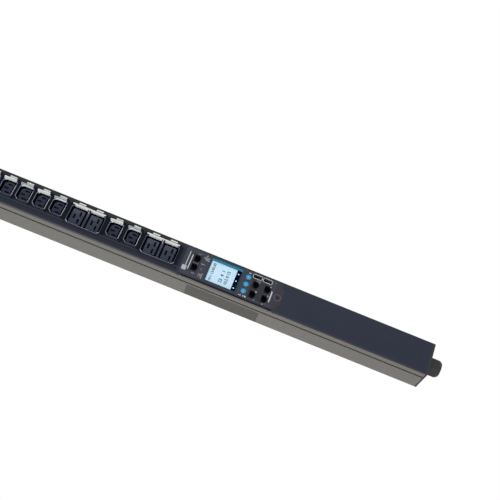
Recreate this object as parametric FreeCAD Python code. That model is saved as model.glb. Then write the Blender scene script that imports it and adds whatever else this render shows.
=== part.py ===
import FreeCAD, Part
import os
from FreeCAD import Vector

# Vertical rack power distribution unit, in millimetres.
# The origin is the lower mounting button's axis on the back face.
# +Z runs up the rack, -Y is the front face with the outlets, +X is the reader's right.
# Heights named below count from the housing's bottom end; UP moves them into the frame.

# Housing section
DEPTH = 55.0
FACE_MARGIN = 7.2
CORNER_RADIUS = 4.0
SKIRT = 4.4
COVER_WALL = 1.8
SIDE_WALL = 2.0
BACK_WALL = 2.0
GROOVE_FROM_FRONT = 14.3
GROOVE_WIDTH = 3.9
GROOVE_DEPTH = 1.5
GROOVE_BACKING = 1.6
LEG_LENGTH = 6.0
LEG_THICKNESS = 1.3
BACK_EDGE_RADIUS = 1.0
BOSS_RADIUS = 2.9
BOSS_BORE = 1.6
BOSS_SINK = 0.9
BACK_BOSS_DEPTH = 6.0
FRONT_BOSS_FROM_FRONT = 29.0
SLIDE_FIT = 0.1

# Stack of the front face, from the bottom end up
CONTROLLER_BOTTOM = 248.7
CONTROLLER_TO_OUTLETS = 9.0
C13_CUT_LENGTH = 25.6
C13_CUT_LOW_X = -15.6
C13_CUT_HIGH_X = 20.1
C19_CUT_LENGTH = 57.4
C19_CUT_HALF_WIDTH = 20.3
GROUP_WEB = 4.7
PAIR_WEB = 3.4
DENSE_WEB = 1.6
DENSE_COUNT = 6
DENSE_GROUPS = 2
PAIR_COUNT = 2
TOP_MARGIN = 32.0
PINHOLE_RADIUS = 1.25
PINHOLE_X = -20.3
PINHOLE_ABOVE_CONTROLLER = 5.0

# Outlets
FACE_RECESS = 0.6
CUT_FIT = 0.2
FLANGE = 0.7
FLANGE_THICKNESS = 2.0
OUTLET_DEPTH = 20.4
WELL_DEPTH = 17.0
WELL_BEVEL = 0.8
NOSE_RECESS = 5.0
SLOT_SKIN = 2.5
C13_X = 2.2
C13_WELL = (12.9, 10.3)
C13_NOSE = (11.2, 7.2)
C13_WELL_LOW_CHAMFER = 1.8
C13_WELL_CHAMFER = 4.8
C13_NOSE_CHAMFER = 4.2
C13_PIN_X = 7.0
C13_PIN_Z = 2.0
C13_SLOT = (1.3, 3.5)
C13_CHAMBER = (2.5, 3.7)
C13_CONTACT = (1.9, 2.7)
C19_X = 0.6
C19_WELL = (15.9, 26.8)
C19_WELL_CHAMFER = 3.6
C19_RIB = 3.6
C19_NOSE = (12.9, 9.4)
C19_NOSE_RADIUS = 1.6
C19_PITCH = 28.4
C19_PIN_X = 6.5
C19_PIN_Z = 4.0
C19_SLOT = (4.2, 1.4)
C19_CHAMBER = (4.4, 2.5)
C19_CONTACT = (3.0, 1.9)
CONTACT_LEAF = 0.8
CONTACT_TIP = 9.0
CONTACT_FORK = 9.0

# Busbars, their supports and the supply end
BAR_X = 7.6
BAR_WIDTH = 6.0
BAR_THICKNESS = 2.0
BAR_BEHIND_OUTLETS = 9.0
EARTH_BAR_BEHIND_OUTLETS = 16.0
EARTH_BAR_WIDTH = 10.0
BAR_END_FROM_TOP = 30.0
SUPPORT_HALF_WIDTH = 12.5
SUPPORT_LENGTH = 12.0
SUPPORT_LIP = 1.4
SUPPORT_SIDE_FIT = 0.2
SUPPORT_COUNT = 5
SUPPORT_FROM_BUTTON = 24.0
TERMINAL_BOTTOM = 34.0
TERMINAL_HEIGHT = 30.0
TERMINAL_HALF_WIDTH = 17.0
TERMINAL_BEHIND_OUTLETS = 3.0
TERMINAL_PITCH = 11.4
TERMINAL_HOLE_RADIUS = 3.0
TERMINAL_SCREW_RADIUS = 2.8
TERMINAL_SCREW_LENGTH = 9.0
TERMINAL_SCREW_RECESS = 1.5
TERMINAL_WIRE_RADIUS = 2.6
TERMINAL_WIRE_DEPTH = 16.0
SENSOR_BOTTOM = 110.0
SENSOR_HEIGHT = 14.0
SENSOR_WALL = 3.0
SENSOR_FIT = 0.3

# Ends
CAP_THICKNESS = 3.0
CAP_SPIGOT = 2.0
CAP_SPIGOT_WALL = 1.4
CAP_FIT = 0.25
CAP_SCREW_RADIUS = 1.45
CAP_SCREW_HEAD = 2.8
CAP_SCREW_LENGTH = 12.0
SCREW_SOCKET_RADIUS = 1.1
SCREW_SOCKET_DEPTH = 0.9
GLAND_BEFORE_MIDDLE = 2.5
GLAND_THREAD_RADIUS = 10.0
GLAND_THREAD_FIT = 0.2
GLAND_THREAD_LENGTH = 9.0
GLAND_HEX_FLATS = 27.0
GLAND_HEX_HEIGHT = 6.0
GLAND_NECK_RADIUS = 10.6
GLAND_NECK_LENGTH = 9.0
GLAND_NUT_LENGTH = 15.0
GLAND_NUT_TOP_RADIUS = 11.2
GLAND_BORE = 7.5
GLAND_LOCKNUT_FLATS = 29.0
GLAND_LOCKNUT_HEIGHT = 4.5
GLAND_SEAL_WALL = 1.6

# Mounting buttons on the back
BUTTON_BOTTOM = 80.0
BUTTON_FROM_TOP = 80.0
NECK_RADIUS = 3.1
NECK_LENGTH = 3.4
HEAD_RADIUS = 6.0
HEAD_THICKNESS = 2.6
HEAD_CHAMFER = 0.6
STUD_RADIUS = 2.0
STUD_LENGTH = 6.5
STUD_FIT = 0.15
NUT_FLATS = 7.0
NUT_HEIGHT = 3.2

# Controller module, and the clear heights between its fittings from the foot up
FOOT_TO_NETWORK_JACK = 16.2
NETWORK_JACK_TO_KEYS = 2.2
KEYS_TO_WINDOW = 5.9
WINDOW_TO_SENSOR_JACK = 14.8
SENSOR_JACK_TO_TOP = 13.2
PANEL_PROUD = 0.4
PANEL_THICKNESS = 2.2
PANEL_FIT = 0.15
PANEL_EDGE_RADIUS = 0.5
TONGUE_HALF_WIDTH = 15.2
TONGUE_LENGTH = 4.8
TONGUE_RADIUS = 2.6
TONGUE_SHOULDER = 2.0
HOUSING_WALL = 1.2
HOUSING_INSET = 2.5
HOUSING_FOOT_INSET = 9.0
LEG_GAP = 0.5
BOARD_FROM_FRONT = 16.1
BOARD_THICKNESS = 1.6
BOARD_SCREW_RADIUS = 1.2
BOARD_SCREW_HEAD = 2.2
BOARD_SCREW_LENGTH = 7.0
BOARD_BOSS_RADIUS = 2.5
BOARD_BOSS_INSET = 3.2
WINDOW_LENGTH = 50.6
WINDOW_SIDE = 7.1
WINDOW_THICKNESS = 1.2
WINDOW_RIM = 1.2
WINDOW_RADIUS = 1.0
WINDOW_FIT = 0.1
DISPLAY_MARGIN = 0.6
DISPLAY_THICKNESS = 3.5
KEY_RADIUS = 4.0
KEY_FIT = 0.15
KEY_PROUD = 1.0
KEY_PITCH = 12.55
KEY_CENTRE_X = -0.8
KEY_DISH = 0.35
KEY_EDGE = 0.5
KEY_FLANGE_RADIUS = 4.9
KEY_FLANGE_THICKNESS = 0.8
KEY_FLANGE_GAP = 0.2
KEY_STEM_RADIUS = 1.6
KEY_TRAVEL = 0.8
SWITCH_SIZE = 6.0
SWITCH_HEIGHT = 3.5
SWITCH_PLUNGER_RADIUS = 1.7
SWITCH_PLUNGER_HEIGHT = 0.8
SWITCH_GAP = 0.1
JACK_RECESS = 0.2
JACK_FIT = 0.15
PORT_WIDTH = 11.9
PORT_HEIGHT = 7.9
PORT_DEPTH = 12.5
PORT_KEY_WIDTH = 6.2
PORT_KEY_HEIGHT = 1.5
SENSOR_JACK_X = 0.9
SENSOR_PORT_PITCH = 15.6
SENSOR_JACK_HALF = (15.4, 6.8)
NETWORK_JACK_X = -4.6
NETWORK_PORT_PITCH_X = 17.0
NETWORK_PORT_PITCH_Z = 19.0
NETWORK_JACK_HALF = (16.6, 16.2)
LIGHT_SIZE = 2.0
LIGHT_DEPTH = 2.0
LIGHT_OFFSET = (6.3, -4.8)
USB_X = 18.0
USB_ABOVE_JACK_CENTRE = 1.8
USB_PITCH = 16.5
USB_HALF = (3.4, 7.25)
USB_SHELL = 0.5
USB_DEPTH = 14.0
USB_TONGUE = (0.9, 5.6)
CAPTIVE_X = -2.5
CAPTIVE_FROM_BOTTOM = 4.0
CAPTIVE_HEAD_RADIUS = 2.8
CAPTIVE_HEAD_HEIGHT = 1.6
CAPTIVE_SHANK_RADIUS = 1.3
CAPTIVE_LENGTH = 12.0
RELEASE_SLOT_HEIGHT = 0.7
RELEASE_NOTCH_HEIGHT = 1.9
RELEASE_NOTCH_LENGTH = 3.0
RELEASE_NOTCH_AT = (1.7, 10.2)

# Levels worked out from the values above
UP = -BUTTON_BOTTOM
FRONT = -DEPTH
HALF = C19_CUT_HALF_WIDTH + FACE_MARGIN
COVER_BACK = FRONT + COVER_WALL
SEAM = FRONT + SKIRT
FLAT_HALF = HALF - CORNER_RADIUS
PANEL_FRONT = FRONT - PANEL_PROUD
PANEL_BACK = PANEL_FRONT + PANEL_THICKNESS
BOSS_DEPTHS = (BACK_BOSS_DEPTH, DEPTH - FRONT_BOSS_FROM_FRONT)
OUTLET_FACE = FRONT + FACE_RECESS
OUTLET_BACK = -OUTLET_FACE - OUTLET_DEPTH
BAR_DEPTH = OUTLET_BACK - BAR_BEHIND_OUTLETS
EARTH_BAR_DEPTH = OUTLET_BACK - EARTH_BAR_BEHIND_OUTLETS
TERMINAL_DEPTH = OUTLET_BACK - TERMINAL_BEHIND_OUTLETS
GLAND_DEPTH = DEPTH / 2 + GLAND_BEFORE_MIDDLE
BOARD_DEPTH = DEPTH - BOARD_FROM_FRONT
BOARD_FRONT = -BOARD_DEPTH - BOARD_THICKNESS
WINDOW_WIDTH = 2 * (HALF - WINDOW_SIDE)
PANEL_BOTTOM = CONTROLLER_BOTTOM + PANEL_FIT
NETWORK_JACK_LEVEL = PANEL_BOTTOM + FOOT_TO_NETWORK_JACK + NETWORK_JACK_HALF[1]
USB_LEVEL = NETWORK_JACK_LEVEL + USB_ABOVE_JACK_CENTRE
KEY_LEVEL = NETWORK_JACK_LEVEL + NETWORK_JACK_HALF[1] + NETWORK_JACK_TO_KEYS + KEY_FLANGE_RADIUS
WINDOW_LEVEL = KEY_LEVEL + KEY_FLANGE_RADIUS + KEYS_TO_WINDOW + WINDOW_LENGTH / 2
SENSOR_JACK_LEVEL = (
    WINDOW_LEVEL + WINDOW_LENGTH / 2 + WINDOW_TO_SENSOR_JACK + SENSOR_JACK_HALF[1]
)
CONTROLLER_TOP = SENSOR_JACK_LEVEL + SENSOR_JACK_HALF[1] + SENSOR_JACK_TO_TOP + PANEL_FIT


def stack_face():
    """Return the C19 modules' centres, the C13 outlets' centres and the housing's length."""
    modules = []
    singles = []
    level = CONTROLLER_TOP + CONTROLLER_TO_OUTLETS
    modules.append(level + C19_CUT_LENGTH / 2)
    level += C19_CUT_LENGTH + GROUP_WEB
    for _ in range(PAIR_COUNT):
        singles.append(level + C13_CUT_LENGTH / 2)
        level += C13_CUT_LENGTH + PAIR_WEB
    level += GROUP_WEB - PAIR_WEB
    modules.append(level + C19_CUT_LENGTH / 2)
    level += C19_CUT_LENGTH + GROUP_WEB
    for _ in range(DENSE_GROUPS):
        for _ in range(DENSE_COUNT):
            singles.append(level + C13_CUT_LENGTH / 2)
            level += C13_CUT_LENGTH + DENSE_WEB
        level += GROUP_WEB - DENSE_WEB
    return modules, singles, level - GROUP_WEB + TOP_MARGIN


C19_CENTRES, C13_CENTRES, LENGTH = stack_face()
BUTTON_SPACING = LENGTH - BUTTON_BOTTOM - BUTTON_FROM_TOP


def box(x_low, x_high, y_low, y_high, z_low, z_high):
    corner = Vector(x_low, y_low, z_low)
    return Part.makeBox(x_high - x_low, y_high - y_low, z_high - z_low, corner)


def rod(radius, y_low, y_high, x, z):
    """A cylinder that runs from front to back."""
    return Part.makeCylinder(radius, y_high - y_low, Vector(x, y_low, z), Vector(0, 1, 0))


def post(radius, z_low, z_high, x, y):
    """A cylinder that runs up the housing."""
    return Part.makeCylinder(radius, z_high - z_low, Vector(x, y, z_low))


def turned(points, x, z):
    """Turn a profile of (radius, y) points about an axis that runs from front to back."""
    wire = polygon([Vector(x + radius, y, z) for radius, y in points])
    return Part.Face(wire).revolve(Vector(x, 0, z), Vector(0, 1, 0), 360)


def join(shapes):
    return shapes[0].fuse(shapes[1:]).removeSplitter()


def polygon(points):
    return Part.makePolygon(points + points[:1])


def section_up(points, z_low, z_high):
    """Extrude a section given as (x, y) points up the housing."""
    wire = polygon([Vector(x, y, z_low) for x, y in points])
    return Part.Face(wire).extrude(Vector(0, 0, z_high - z_low))


def mirrored(points):
    """Complete a section from its right half."""
    return points + [(-x, y) for x, y in reversed(points)]


def outline_wire(half_x, half_z, low_chamfer, high_chamfer, x, y, z):
    """A rectangle with cut corners, facing the front; the high chamfer is at +Z."""
    right = [
        (half_x - low_chamfer, -half_z),
        (half_x, -half_z + low_chamfer),
        (half_x, half_z - high_chamfer),
        (half_x - high_chamfer, half_z),
    ]
    points = [Vector(x + px, y, z + pz) for px, pz in mirrored(right)]
    return polygon(points)


def outline_block(half_x, half_z, low_chamfer, high_chamfer, x, z, y_low, y_high):
    wire = outline_wire(half_x, half_z, low_chamfer, high_chamfer, x, y_low, z)
    return Part.Face(wire).extrude(Vector(0, y_high - y_low, 0))


def bevelled_well(half_x, half_z, low_chamfer, high_chamfer, x, z, y_low, y_high):
    """The space of a well whose mouth is bevelled."""
    chamfers = (low_chamfer, high_chamfer)
    well = outline_block(half_x, half_z, *chamfers, x, z, y_low, y_high)
    wide = outline_wire(half_x + WELL_BEVEL, half_z + WELL_BEVEL, *chamfers, x, y_low, z)
    narrow = outline_wire(half_x, half_z, *chamfers, x, y_low + WELL_BEVEL, z)
    return well.fuse(Part.makeLoft([wide, narrow], True))


def edges_along(shape, axis):
    """The straight edges that run along one axis."""
    found = []
    for edge in shape.Edges:
        if len(edge.Vertexes) == 2:
            step = edge.Vertexes[1].Point - edge.Vertexes[0].Point
            if step.Length > 0 and abs(step.normalize().dot(axis)) > 0.999:
                found.append(edge)
    return found


def hexagon(flats, z_low, z_high, x, y):
    wire = Part.Wire(Part.makePolygon([
        Vector(x, y, z_low) + FreeCAD.Rotation(Vector(0, 0, 1), 60 * k).multVec(
            Vector(flats / 3 ** 0.5, 0, 0))
        for k in range(7)
    ]))
    return Part.Face(wire).extrude(Vector(0, 0, z_high - z_low))


def save(name, shape):
    placed = shape.copy()
    placed.translate(Vector(0, 0, UP))
    placed.exportStep("parts/" + name + ".step")


# Chassis: one extruded channel with a bracket groove down each side and four screw channels

def chassis_channel():
    groove_top = FRONT + GROOVE_FROM_FRONT
    groove_low = groove_top + GROOVE_WIDTH
    inner = HALF - SIDE_WALL
    groove_floor = HALF - GROOVE_DEPTH
    groove_back = groove_floor - GROOVE_BACKING
    right = [
        (HALF - BACK_EDGE_RADIUS, 0),
        (HALF, -BACK_EDGE_RADIUS),
        (HALF, groove_low),
        (groove_floor, groove_low),
        (groove_floor, groove_top),
        (HALF, groove_top),
        (HALF, SEAM),
        (inner, SEAM),
        (inner, groove_top - GROOVE_BACKING),
        (groove_back, groove_top - GROOVE_BACKING),
        (groove_back, groove_low + GROOVE_BACKING),
        (inner, groove_low + GROOVE_BACKING),
        (inner, -BACK_WALL),
    ]
    bottom = CAP_THICKNESS
    top = LENGTH - CAP_THICKNESS
    channel = section_up(mirrored(right), bottom, top)
    bosses = [post(BOSS_RADIUS, bottom, top, x, y) for x, y in boss_places()]
    bores = [post(BOSS_BORE, bottom, top, x, y) for x, y in boss_places()]
    studs = [
        rod(STUD_RADIUS + STUD_FIT, -BACK_WALL, 0, 0, z) for z in button_heights()
    ]
    return join([channel] + bosses).cut(bores + studs)


def boss_places():
    x = HALF - SIDE_WALL - BOSS_RADIUS + BOSS_SINK
    return [(side * x, -depth) for side in (-1, 1) for depth in BOSS_DEPTHS]


def button_heights():
    return [BUTTON_BOTTOM, BUTTON_BOTTOM + BUTTON_SPACING]


# Front cover: one extrusion with rounded edges that snaps inside the chassis walls

def front_cover():
    leg_out = HALF - SIDE_WALL - SLIDE_FIT
    leg_in = leg_out - LEG_THICKNESS
    leg_end = SEAM + LEG_LENGTH
    corner = Vector(FLAT_HALF, FRONT + CORNER_RADIUS, 0)
    half_turn = CORNER_RADIUS * 0.5 ** 0.5
    edges = []
    for side in (-1, 1):
        arc = Part.Arc(
            Vector(side * FLAT_HALF, FRONT, 0),
            Vector(side * (corner.x + half_turn), corner.y - half_turn, 0),
            Vector(side * HALF, corner.y, 0),
        )
        edges.append(arc.toShape())
        chain = [
            Vector(side * HALF, corner.y, 0),
            Vector(side * HALF, SEAM, 0),
            Vector(side * leg_out, SEAM, 0),
            Vector(side * leg_out, leg_end, 0),
            Vector(side * leg_in, leg_end, 0),
            Vector(side * leg_in, COVER_BACK, 0),
        ]
        edges += Part.makePolygon(chain).Edges
    edges.append(Part.makeLine(Vector(-FLAT_HALF, FRONT, 0), Vector(FLAT_HALF, FRONT, 0)))
    edges.append(Part.makeLine(Vector(-leg_in, COVER_BACK, 0), Vector(leg_in, COVER_BACK, 0)))
    section = Part.Face(Part.Wire(Part.__sortEdges__(edges)))
    section.translate(Vector(0, 0, CAP_THICKNESS))
    cover = section.extrude(Vector(0, 0, LENGTH - 2 * CAP_THICKNESS))
    return cover.cut(outlet_cuts() + release_cuts() + [controller_block(0, FRONT, leg_end)])


def outlet_cuts():
    half = C13_CUT_LENGTH / 2
    cuts = [
        box(C13_CUT_LOW_X, C13_CUT_HIGH_X, FRONT, COVER_BACK, z - half, z + half)
        for z in C13_CENTRES
    ]
    wide = C19_CUT_HALF_WIDTH
    half = C19_CUT_LENGTH / 2
    cuts += [box(-wide, wide, FRONT, COVER_BACK, z - half, z + half) for z in C19_CENTRES]
    pinhole = CONTROLLER_TOP + PINHOLE_ABOVE_CONTROLLER
    cuts.append(rod(PINHOLE_RADIUS, FRONT, COVER_BACK, PINHOLE_X, pinhole))
    return cuts


def release_cuts():
    """Slots at the foot of both skirts, where the controller's catches are let go."""
    low = CONTROLLER_BOTTOM + RELEASE_NOTCH_AT[1]
    high = CONTROLLER_TOP - RELEASE_NOTCH_AT[1]
    half = RELEASE_NOTCH_LENGTH / 2
    inner = HALF - SIDE_WALL
    cuts = []
    for side in (-1, 1):
        x_low, x_high = sorted((side * inner, side * HALF))
        cuts.append(box(x_low, x_high, SEAM - RELEASE_SLOT_HEIGHT, SEAM, low, high))
        for place in RELEASE_NOTCH_AT:
            for z in (CONTROLLER_BOTTOM + place, CONTROLLER_TOP - place):
                top = SEAM - RELEASE_NOTCH_HEIGHT
                cuts.append(box(x_low, x_high, top, SEAM, z - half, z + half))
    return cuts


def controller_block(inset, y_low, y_high):
    """The controller's outline with its rounded tongue, drawn in by an inset."""
    low = CONTROLLER_BOTTOM + inset
    half = FLAT_HALF - inset
    main = box(-half, half, y_low, y_high, low, CONTROLLER_TOP - inset)
    tongue_half = TONGUE_HALF_WIDTH - inset
    foot = low - TONGUE_LENGTH
    tongue = box(-tongue_half, tongue_half, y_low, y_high, foot, low)
    block = join([main, tongue])
    corners = upright_edges(block, tongue_half, foot)
    block = block.makeFillet(TONGUE_RADIUS, corners)
    return block.makeFillet(TONGUE_SHOULDER, upright_edges(block, tongue_half, low))


def upright_edges(block, half, z):
    """The two edges from front to back at one height, each side of the middle."""
    found = []
    for edge in edges_along(block, Vector(0, 1, 0)):
        spot = edge.Vertexes[0].Point
        if abs(spot.z - z) < 0.01 and abs(abs(spot.x) - half) < 0.01:
            found.append(edge)
    return found


# Outlets: each is one moulding with a flange behind the cover, a well and a nose in the well

def c13_outlet(z):
    x_low = C13_CUT_LOW_X + CUT_FIT
    x_high = C13_CUT_HIGH_X - CUT_FIT
    half = C13_CUT_LENGTH / 2 - CUT_FIT
    flange_half = C13_CUT_LENGTH / 2 + FLANGE
    flange_end = COVER_BACK + FLANGE_THICKNESS
    block = join([
        box(x_low, x_high, OUTLET_FACE, -OUTLET_BACK, z - half, z + half),
        box(x_low - FLANGE, x_high + FLANGE, COVER_BACK, flange_end,
            z - flange_half, z + flange_half),
    ])
    floor = OUTLET_FACE + WELL_DEPTH
    chamfers = (C13_WELL_LOW_CHAMFER, C13_WELL_CHAMFER)
    well = bevelled_well(*C13_WELL, *chamfers, C13_X, z, OUTLET_FACE, floor)
    nose_top = OUTLET_FACE + NOSE_RECESS
    nose = outline_block(*C13_NOSE, 0.8, C13_NOSE_CHAMFER, C13_X, z, nose_top, floor)
    cuts = []
    for x, dz in c13_pins():
        cuts += pin_way(x, z + dz, C13_SLOT, C13_CHAMBER, nose_top)
    return block.cut(well).fuse(nose).removeSplitter().cut(cuts)


def c13_pins():
    """Line, neutral and earth, as x and the height from the outlet's centre."""
    return [
        (C13_X + C13_PIN_X, -C13_PIN_Z),
        (C13_X - C13_PIN_X, -C13_PIN_Z),
        (C13_X, C13_PIN_Z),
    ]


def pin_way(x, z, slot, chamber, nose_top):
    """A pin's slot through the nose's skin and the contact's chamber behind it."""
    inside = nose_top + SLOT_SKIN
    return [
        box(x - slot[0], x + slot[0], nose_top, inside, z - slot[1], z + slot[1]),
        box(x - chamber[0], x + chamber[0], inside, -OUTLET_BACK,
            z - chamber[1], z + chamber[1]),
    ]


def c19_module(z):
    half_x = C19_CUT_HALF_WIDTH - CUT_FIT
    half_z = C19_CUT_LENGTH / 2 - CUT_FIT
    flange_end = COVER_BACK + FLANGE_THICKNESS
    flange_x = C19_CUT_HALF_WIDTH + FLANGE
    flange_z = C19_CUT_LENGTH / 2 + FLANGE
    block = join([
        box(-half_x, half_x, OUTLET_FACE, -OUTLET_BACK, z - half_z, z + half_z),
        box(-flange_x, flange_x, COVER_BACK, flange_end, z - flange_z, z + flange_z),
    ])
    floor = OUTLET_FACE + WELL_DEPTH
    nose_top = OUTLET_FACE + NOSE_RECESS
    chamfers = (C19_WELL_CHAMFER, C19_WELL_CHAMFER)
    well = bevelled_well(*C19_WELL, *chamfers, C19_X, z, OUTLET_FACE, floor)
    fills = [box(C19_X - C19_WELL[0], C19_X + C19_WELL[0], nose_top, floor,
                 z - C19_RIB / 2, z + C19_RIB / 2)]
    cuts = []
    for centre in c19_noses(z):
        half_w, half_h = C19_NOSE
        nose = box(C19_X - half_w, C19_X + half_w, nose_top, floor,
                   centre - half_h, centre + half_h)
        fills.append(nose.makeFillet(C19_NOSE_RADIUS, edges_along(nose, Vector(0, 1, 0))))
        for x, dz in c19_pins():
            cuts += pin_way(x, centre + dz, C19_SLOT, C19_CHAMBER, nose_top)
    return block.cut(well).fuse(fills).removeSplitter().cut(cuts)


def c19_noses(z):
    return [z - C19_PITCH / 2, z + C19_PITCH / 2]


def c19_pins():
    return [
        (C19_X + C19_PIN_X, -C19_PIN_Z),
        (C19_X - C19_PIN_X, -C19_PIN_Z),
        (C19_X, C19_PIN_Z),
    ]


# Contacts: forked brass strips that stand on their busbar inside each chamber

def contact(x, z, half, bar_face, opens_in_x):
    tip = OUTLET_FACE + CONTACT_TIP
    strip = box(x - half[0], x + half[0], tip, bar_face, z - half[1], z + half[1])
    end = tip + CONTACT_FORK
    if opens_in_x:
        gap = half[0] - CONTACT_LEAF
        fork = box(x - gap, x + gap, tip, end, z - half[1], z + half[1])
    else:
        gap = half[1] - CONTACT_LEAF
        fork = box(x - half[0], x + half[0], tip, end, z - gap, z + gap)
    return strip.cut(fork)


def contacts(pin):
    """All the contacts of one pole: 0 line, 1 neutral, 2 earth."""
    bar_face = -(EARTH_BAR_DEPTH if pin == 2 else BAR_DEPTH) - BAR_THICKNESS
    found = []
    for z in C13_CENTRES:
        x, dz = c13_pins()[pin]
        found.append(contact(x, z + dz, C13_CONTACT, bar_face, True))
    for module in C19_CENTRES:
        for z in c19_noses(module):
            x, dz = c19_pins()[pin]
            found.append(contact(x, z + dz, C19_CONTACT, bar_face, False))
    return Part.makeCompound(found)


# Busbars and the moulded supports that carry them off the chassis

def busbar(x, width, depth):
    low = TERMINAL_BOTTOM + TERMINAL_HEIGHT
    high = LENGTH - BAR_END_FROM_TOP
    half = width / 2
    return box(x - half, x + half, -depth - BAR_THICKNESS, -depth, low, high)


def busbar_supports():
    seat = EARTH_BAR_WIDTH / 2 + SUPPORT_SIDE_FIT
    lip = BAR_X + BAR_WIDTH / 2 + SUPPORT_SIDE_FIT
    right = [
        (SUPPORT_HALF_WIDTH, -BACK_WALL),
        (SUPPORT_HALF_WIDTH, -BAR_DEPTH - SUPPORT_LIP),
        (lip, -BAR_DEPTH - SUPPORT_LIP),
        (lip, -BAR_DEPTH),
        (seat, -BAR_DEPTH),
        (seat, -EARTH_BAR_DEPTH),
    ]
    lower, upper = button_heights()
    low = lower + SUPPORT_FROM_BUTTON
    step = (upper - SUPPORT_FROM_BUTTON - low) / (SUPPORT_COUNT - 1)
    half = SUPPORT_LENGTH / 2
    return Part.makeCompound([
        section_up(mirrored(right), low + k * step - half, low + k * step + half)
        for k in range(SUPPORT_COUNT)
    ])


def current_sensor():
    """A ring core round the line bar."""
    fit = SENSOR_FIT
    x_low = BAR_X - BAR_WIDTH / 2 - fit
    x_high = BAR_X + BAR_WIDTH / 2 + fit
    y_low = -BAR_DEPTH - BAR_THICKNESS - fit
    y_high = -BAR_DEPTH + fit
    wall = SENSOR_WALL
    high = SENSOR_BOTTOM + SENSOR_HEIGHT
    ring = box(x_low - wall, x_high + wall, y_low - wall, y_high + wall, SENSOR_BOTTOM, high)
    ring = ring.makeFillet(wall * 0.6, edges_along(ring, Vector(0, 0, 1)))
    return ring.cut(box(x_low, x_high, y_low, y_high, SENSOR_BOTTOM, high))


def terminal_places():
    return [-TERMINAL_PITCH, 0, TERMINAL_PITCH]


def terminal_block():
    top = TERMINAL_BOTTOM + TERMINAL_HEIGHT
    half = TERMINAL_HALF_WIDTH
    block = box(-half, half, -TERMINAL_DEPTH, -BACK_WALL, TERMINAL_BOTTOM, top)
    middle = TERMINAL_BOTTOM + TERMINAL_HEIGHT / 2
    screw_end = -TERMINAL_DEPTH + TERMINAL_SCREW_RECESS + TERMINAL_SCREW_LENGTH
    wire_y = screw_end + TERMINAL_WIRE_RADIUS
    cuts = []
    for x in terminal_places():
        cuts.append(rod(TERMINAL_HOLE_RADIUS, -TERMINAL_DEPTH, screw_end, x, middle))
        wire_top = TERMINAL_BOTTOM + TERMINAL_WIRE_DEPTH
        cuts.append(post(TERMINAL_WIRE_RADIUS, TERMINAL_BOTTOM, wire_top, x, wire_y))
    return block.cut(cuts)


def terminal_screws():
    middle = TERMINAL_BOTTOM + TERMINAL_HEIGHT / 2
    head = -TERMINAL_DEPTH + TERMINAL_SCREW_RECESS
    socket = head + SCREW_SOCKET_DEPTH
    return Part.makeCompound([
        rod(TERMINAL_SCREW_RADIUS, head, head + TERMINAL_SCREW_LENGTH, x, middle).cut(
            box(x - TERMINAL_SCREW_RADIUS, x + TERMINAL_SCREW_RADIUS, head, socket,
                middle - SCREW_SOCKET_RADIUS / 2, middle + SCREW_SOCKET_RADIUS / 2))
        for x in terminal_places()
    ])


# End caps, their countersunk screws and the supply gland

def cap_plate(z_low):
    """The housing's outer outline: round front edges, small chamfers at the back."""
    plate = section_up(
        [(-HALF, FRONT), (HALF, FRONT), (HALF, 0), (-HALF, 0)], z_low, z_low + CAP_THICKNESS
    )
    upright = edges_along(plate, Vector(0, 0, 1))
    front = [edge for edge in upright if edge.Vertexes[0].Point.y < FRONT / 2]
    plate = plate.makeFillet(CORNER_RADIUS, front)
    upright = edges_along(plate, Vector(0, 0, 1))
    back = [edge for edge in upright if abs(edge.Vertexes[0].Point.y) < 0.01]
    return plate.makeChamfer(BACK_EDGE_RADIUS, back)


def end_cap(at_top):
    """A plate with a locating rim inside the housing and countersunk screw holes."""
    z = LENGTH - CAP_THICKNESS if at_top else 0
    inward = -1 if at_top else 1
    inner_face = z if at_top else CAP_THICKNESS
    side = HALF - SIDE_WALL - 2 * BOSS_RADIUS + BOSS_SINK - CAP_FIT
    rim_low, rim_high = sorted((inner_face, inner_face + inward * CAP_SPIGOT))
    y_low = COVER_BACK + CAP_FIT
    y_high = -BACK_WALL - CAP_FIT
    rim = box(-side, side, y_low, y_high, rim_low, rim_high)
    wall = CAP_SPIGOT_WALL
    hollow = box(-side + wall, side - wall, y_low + wall, y_high - wall, rim_low, rim_high)
    cap = join([cap_plate(z), rim.cut(hollow)])
    outer_face = LENGTH if at_top else 0
    cuts = []
    for x, y in boss_places():
        cuts.append(post(CAP_SCREW_RADIUS + SLIDE_FIT, z, z + CAP_THICKNESS, x, y))
        cuts.append(screw_head(x, y, outer_face, inward, SLIDE_FIT))
    if not at_top:
        hole = GLAND_THREAD_RADIUS + GLAND_THREAD_FIT
        cuts.append(post(hole, 0, CAP_THICKNESS + CAP_SPIGOT, 0, -GLAND_DEPTH))
    return cap.cut(cuts)


def screw_head(x, y, face, inward, extra):
    """A countersunk head whose flat side lies in the cap's outer face."""
    wide = CAP_SCREW_HEAD + extra
    slim = CAP_SCREW_RADIUS + extra
    depth = CAP_SCREW_HEAD - CAP_SCREW_RADIUS
    return Part.makeCone(wide, slim, depth, Vector(x, y, face), Vector(0, 0, inward))


def end_cap_screws():
    screws = []
    for face, inward in ((0, 1), (LENGTH, -1)):
        for x, y in boss_places():
            z_low, z_high = sorted((face, face + inward * CAP_SCREW_LENGTH))
            shank = post(CAP_SCREW_RADIUS, z_low, z_high, x, y)
            head = screw_head(x, y, face, inward, 0)
            low, high = sorted((face, face + inward * SCREW_SOCKET_DEPTH))
            socket = hexagon(2 * SCREW_SOCKET_RADIUS, low, high, x, y)
            screws.append(join([shank, head]).cut(socket))
    return Part.makeCompound(screws)


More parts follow.
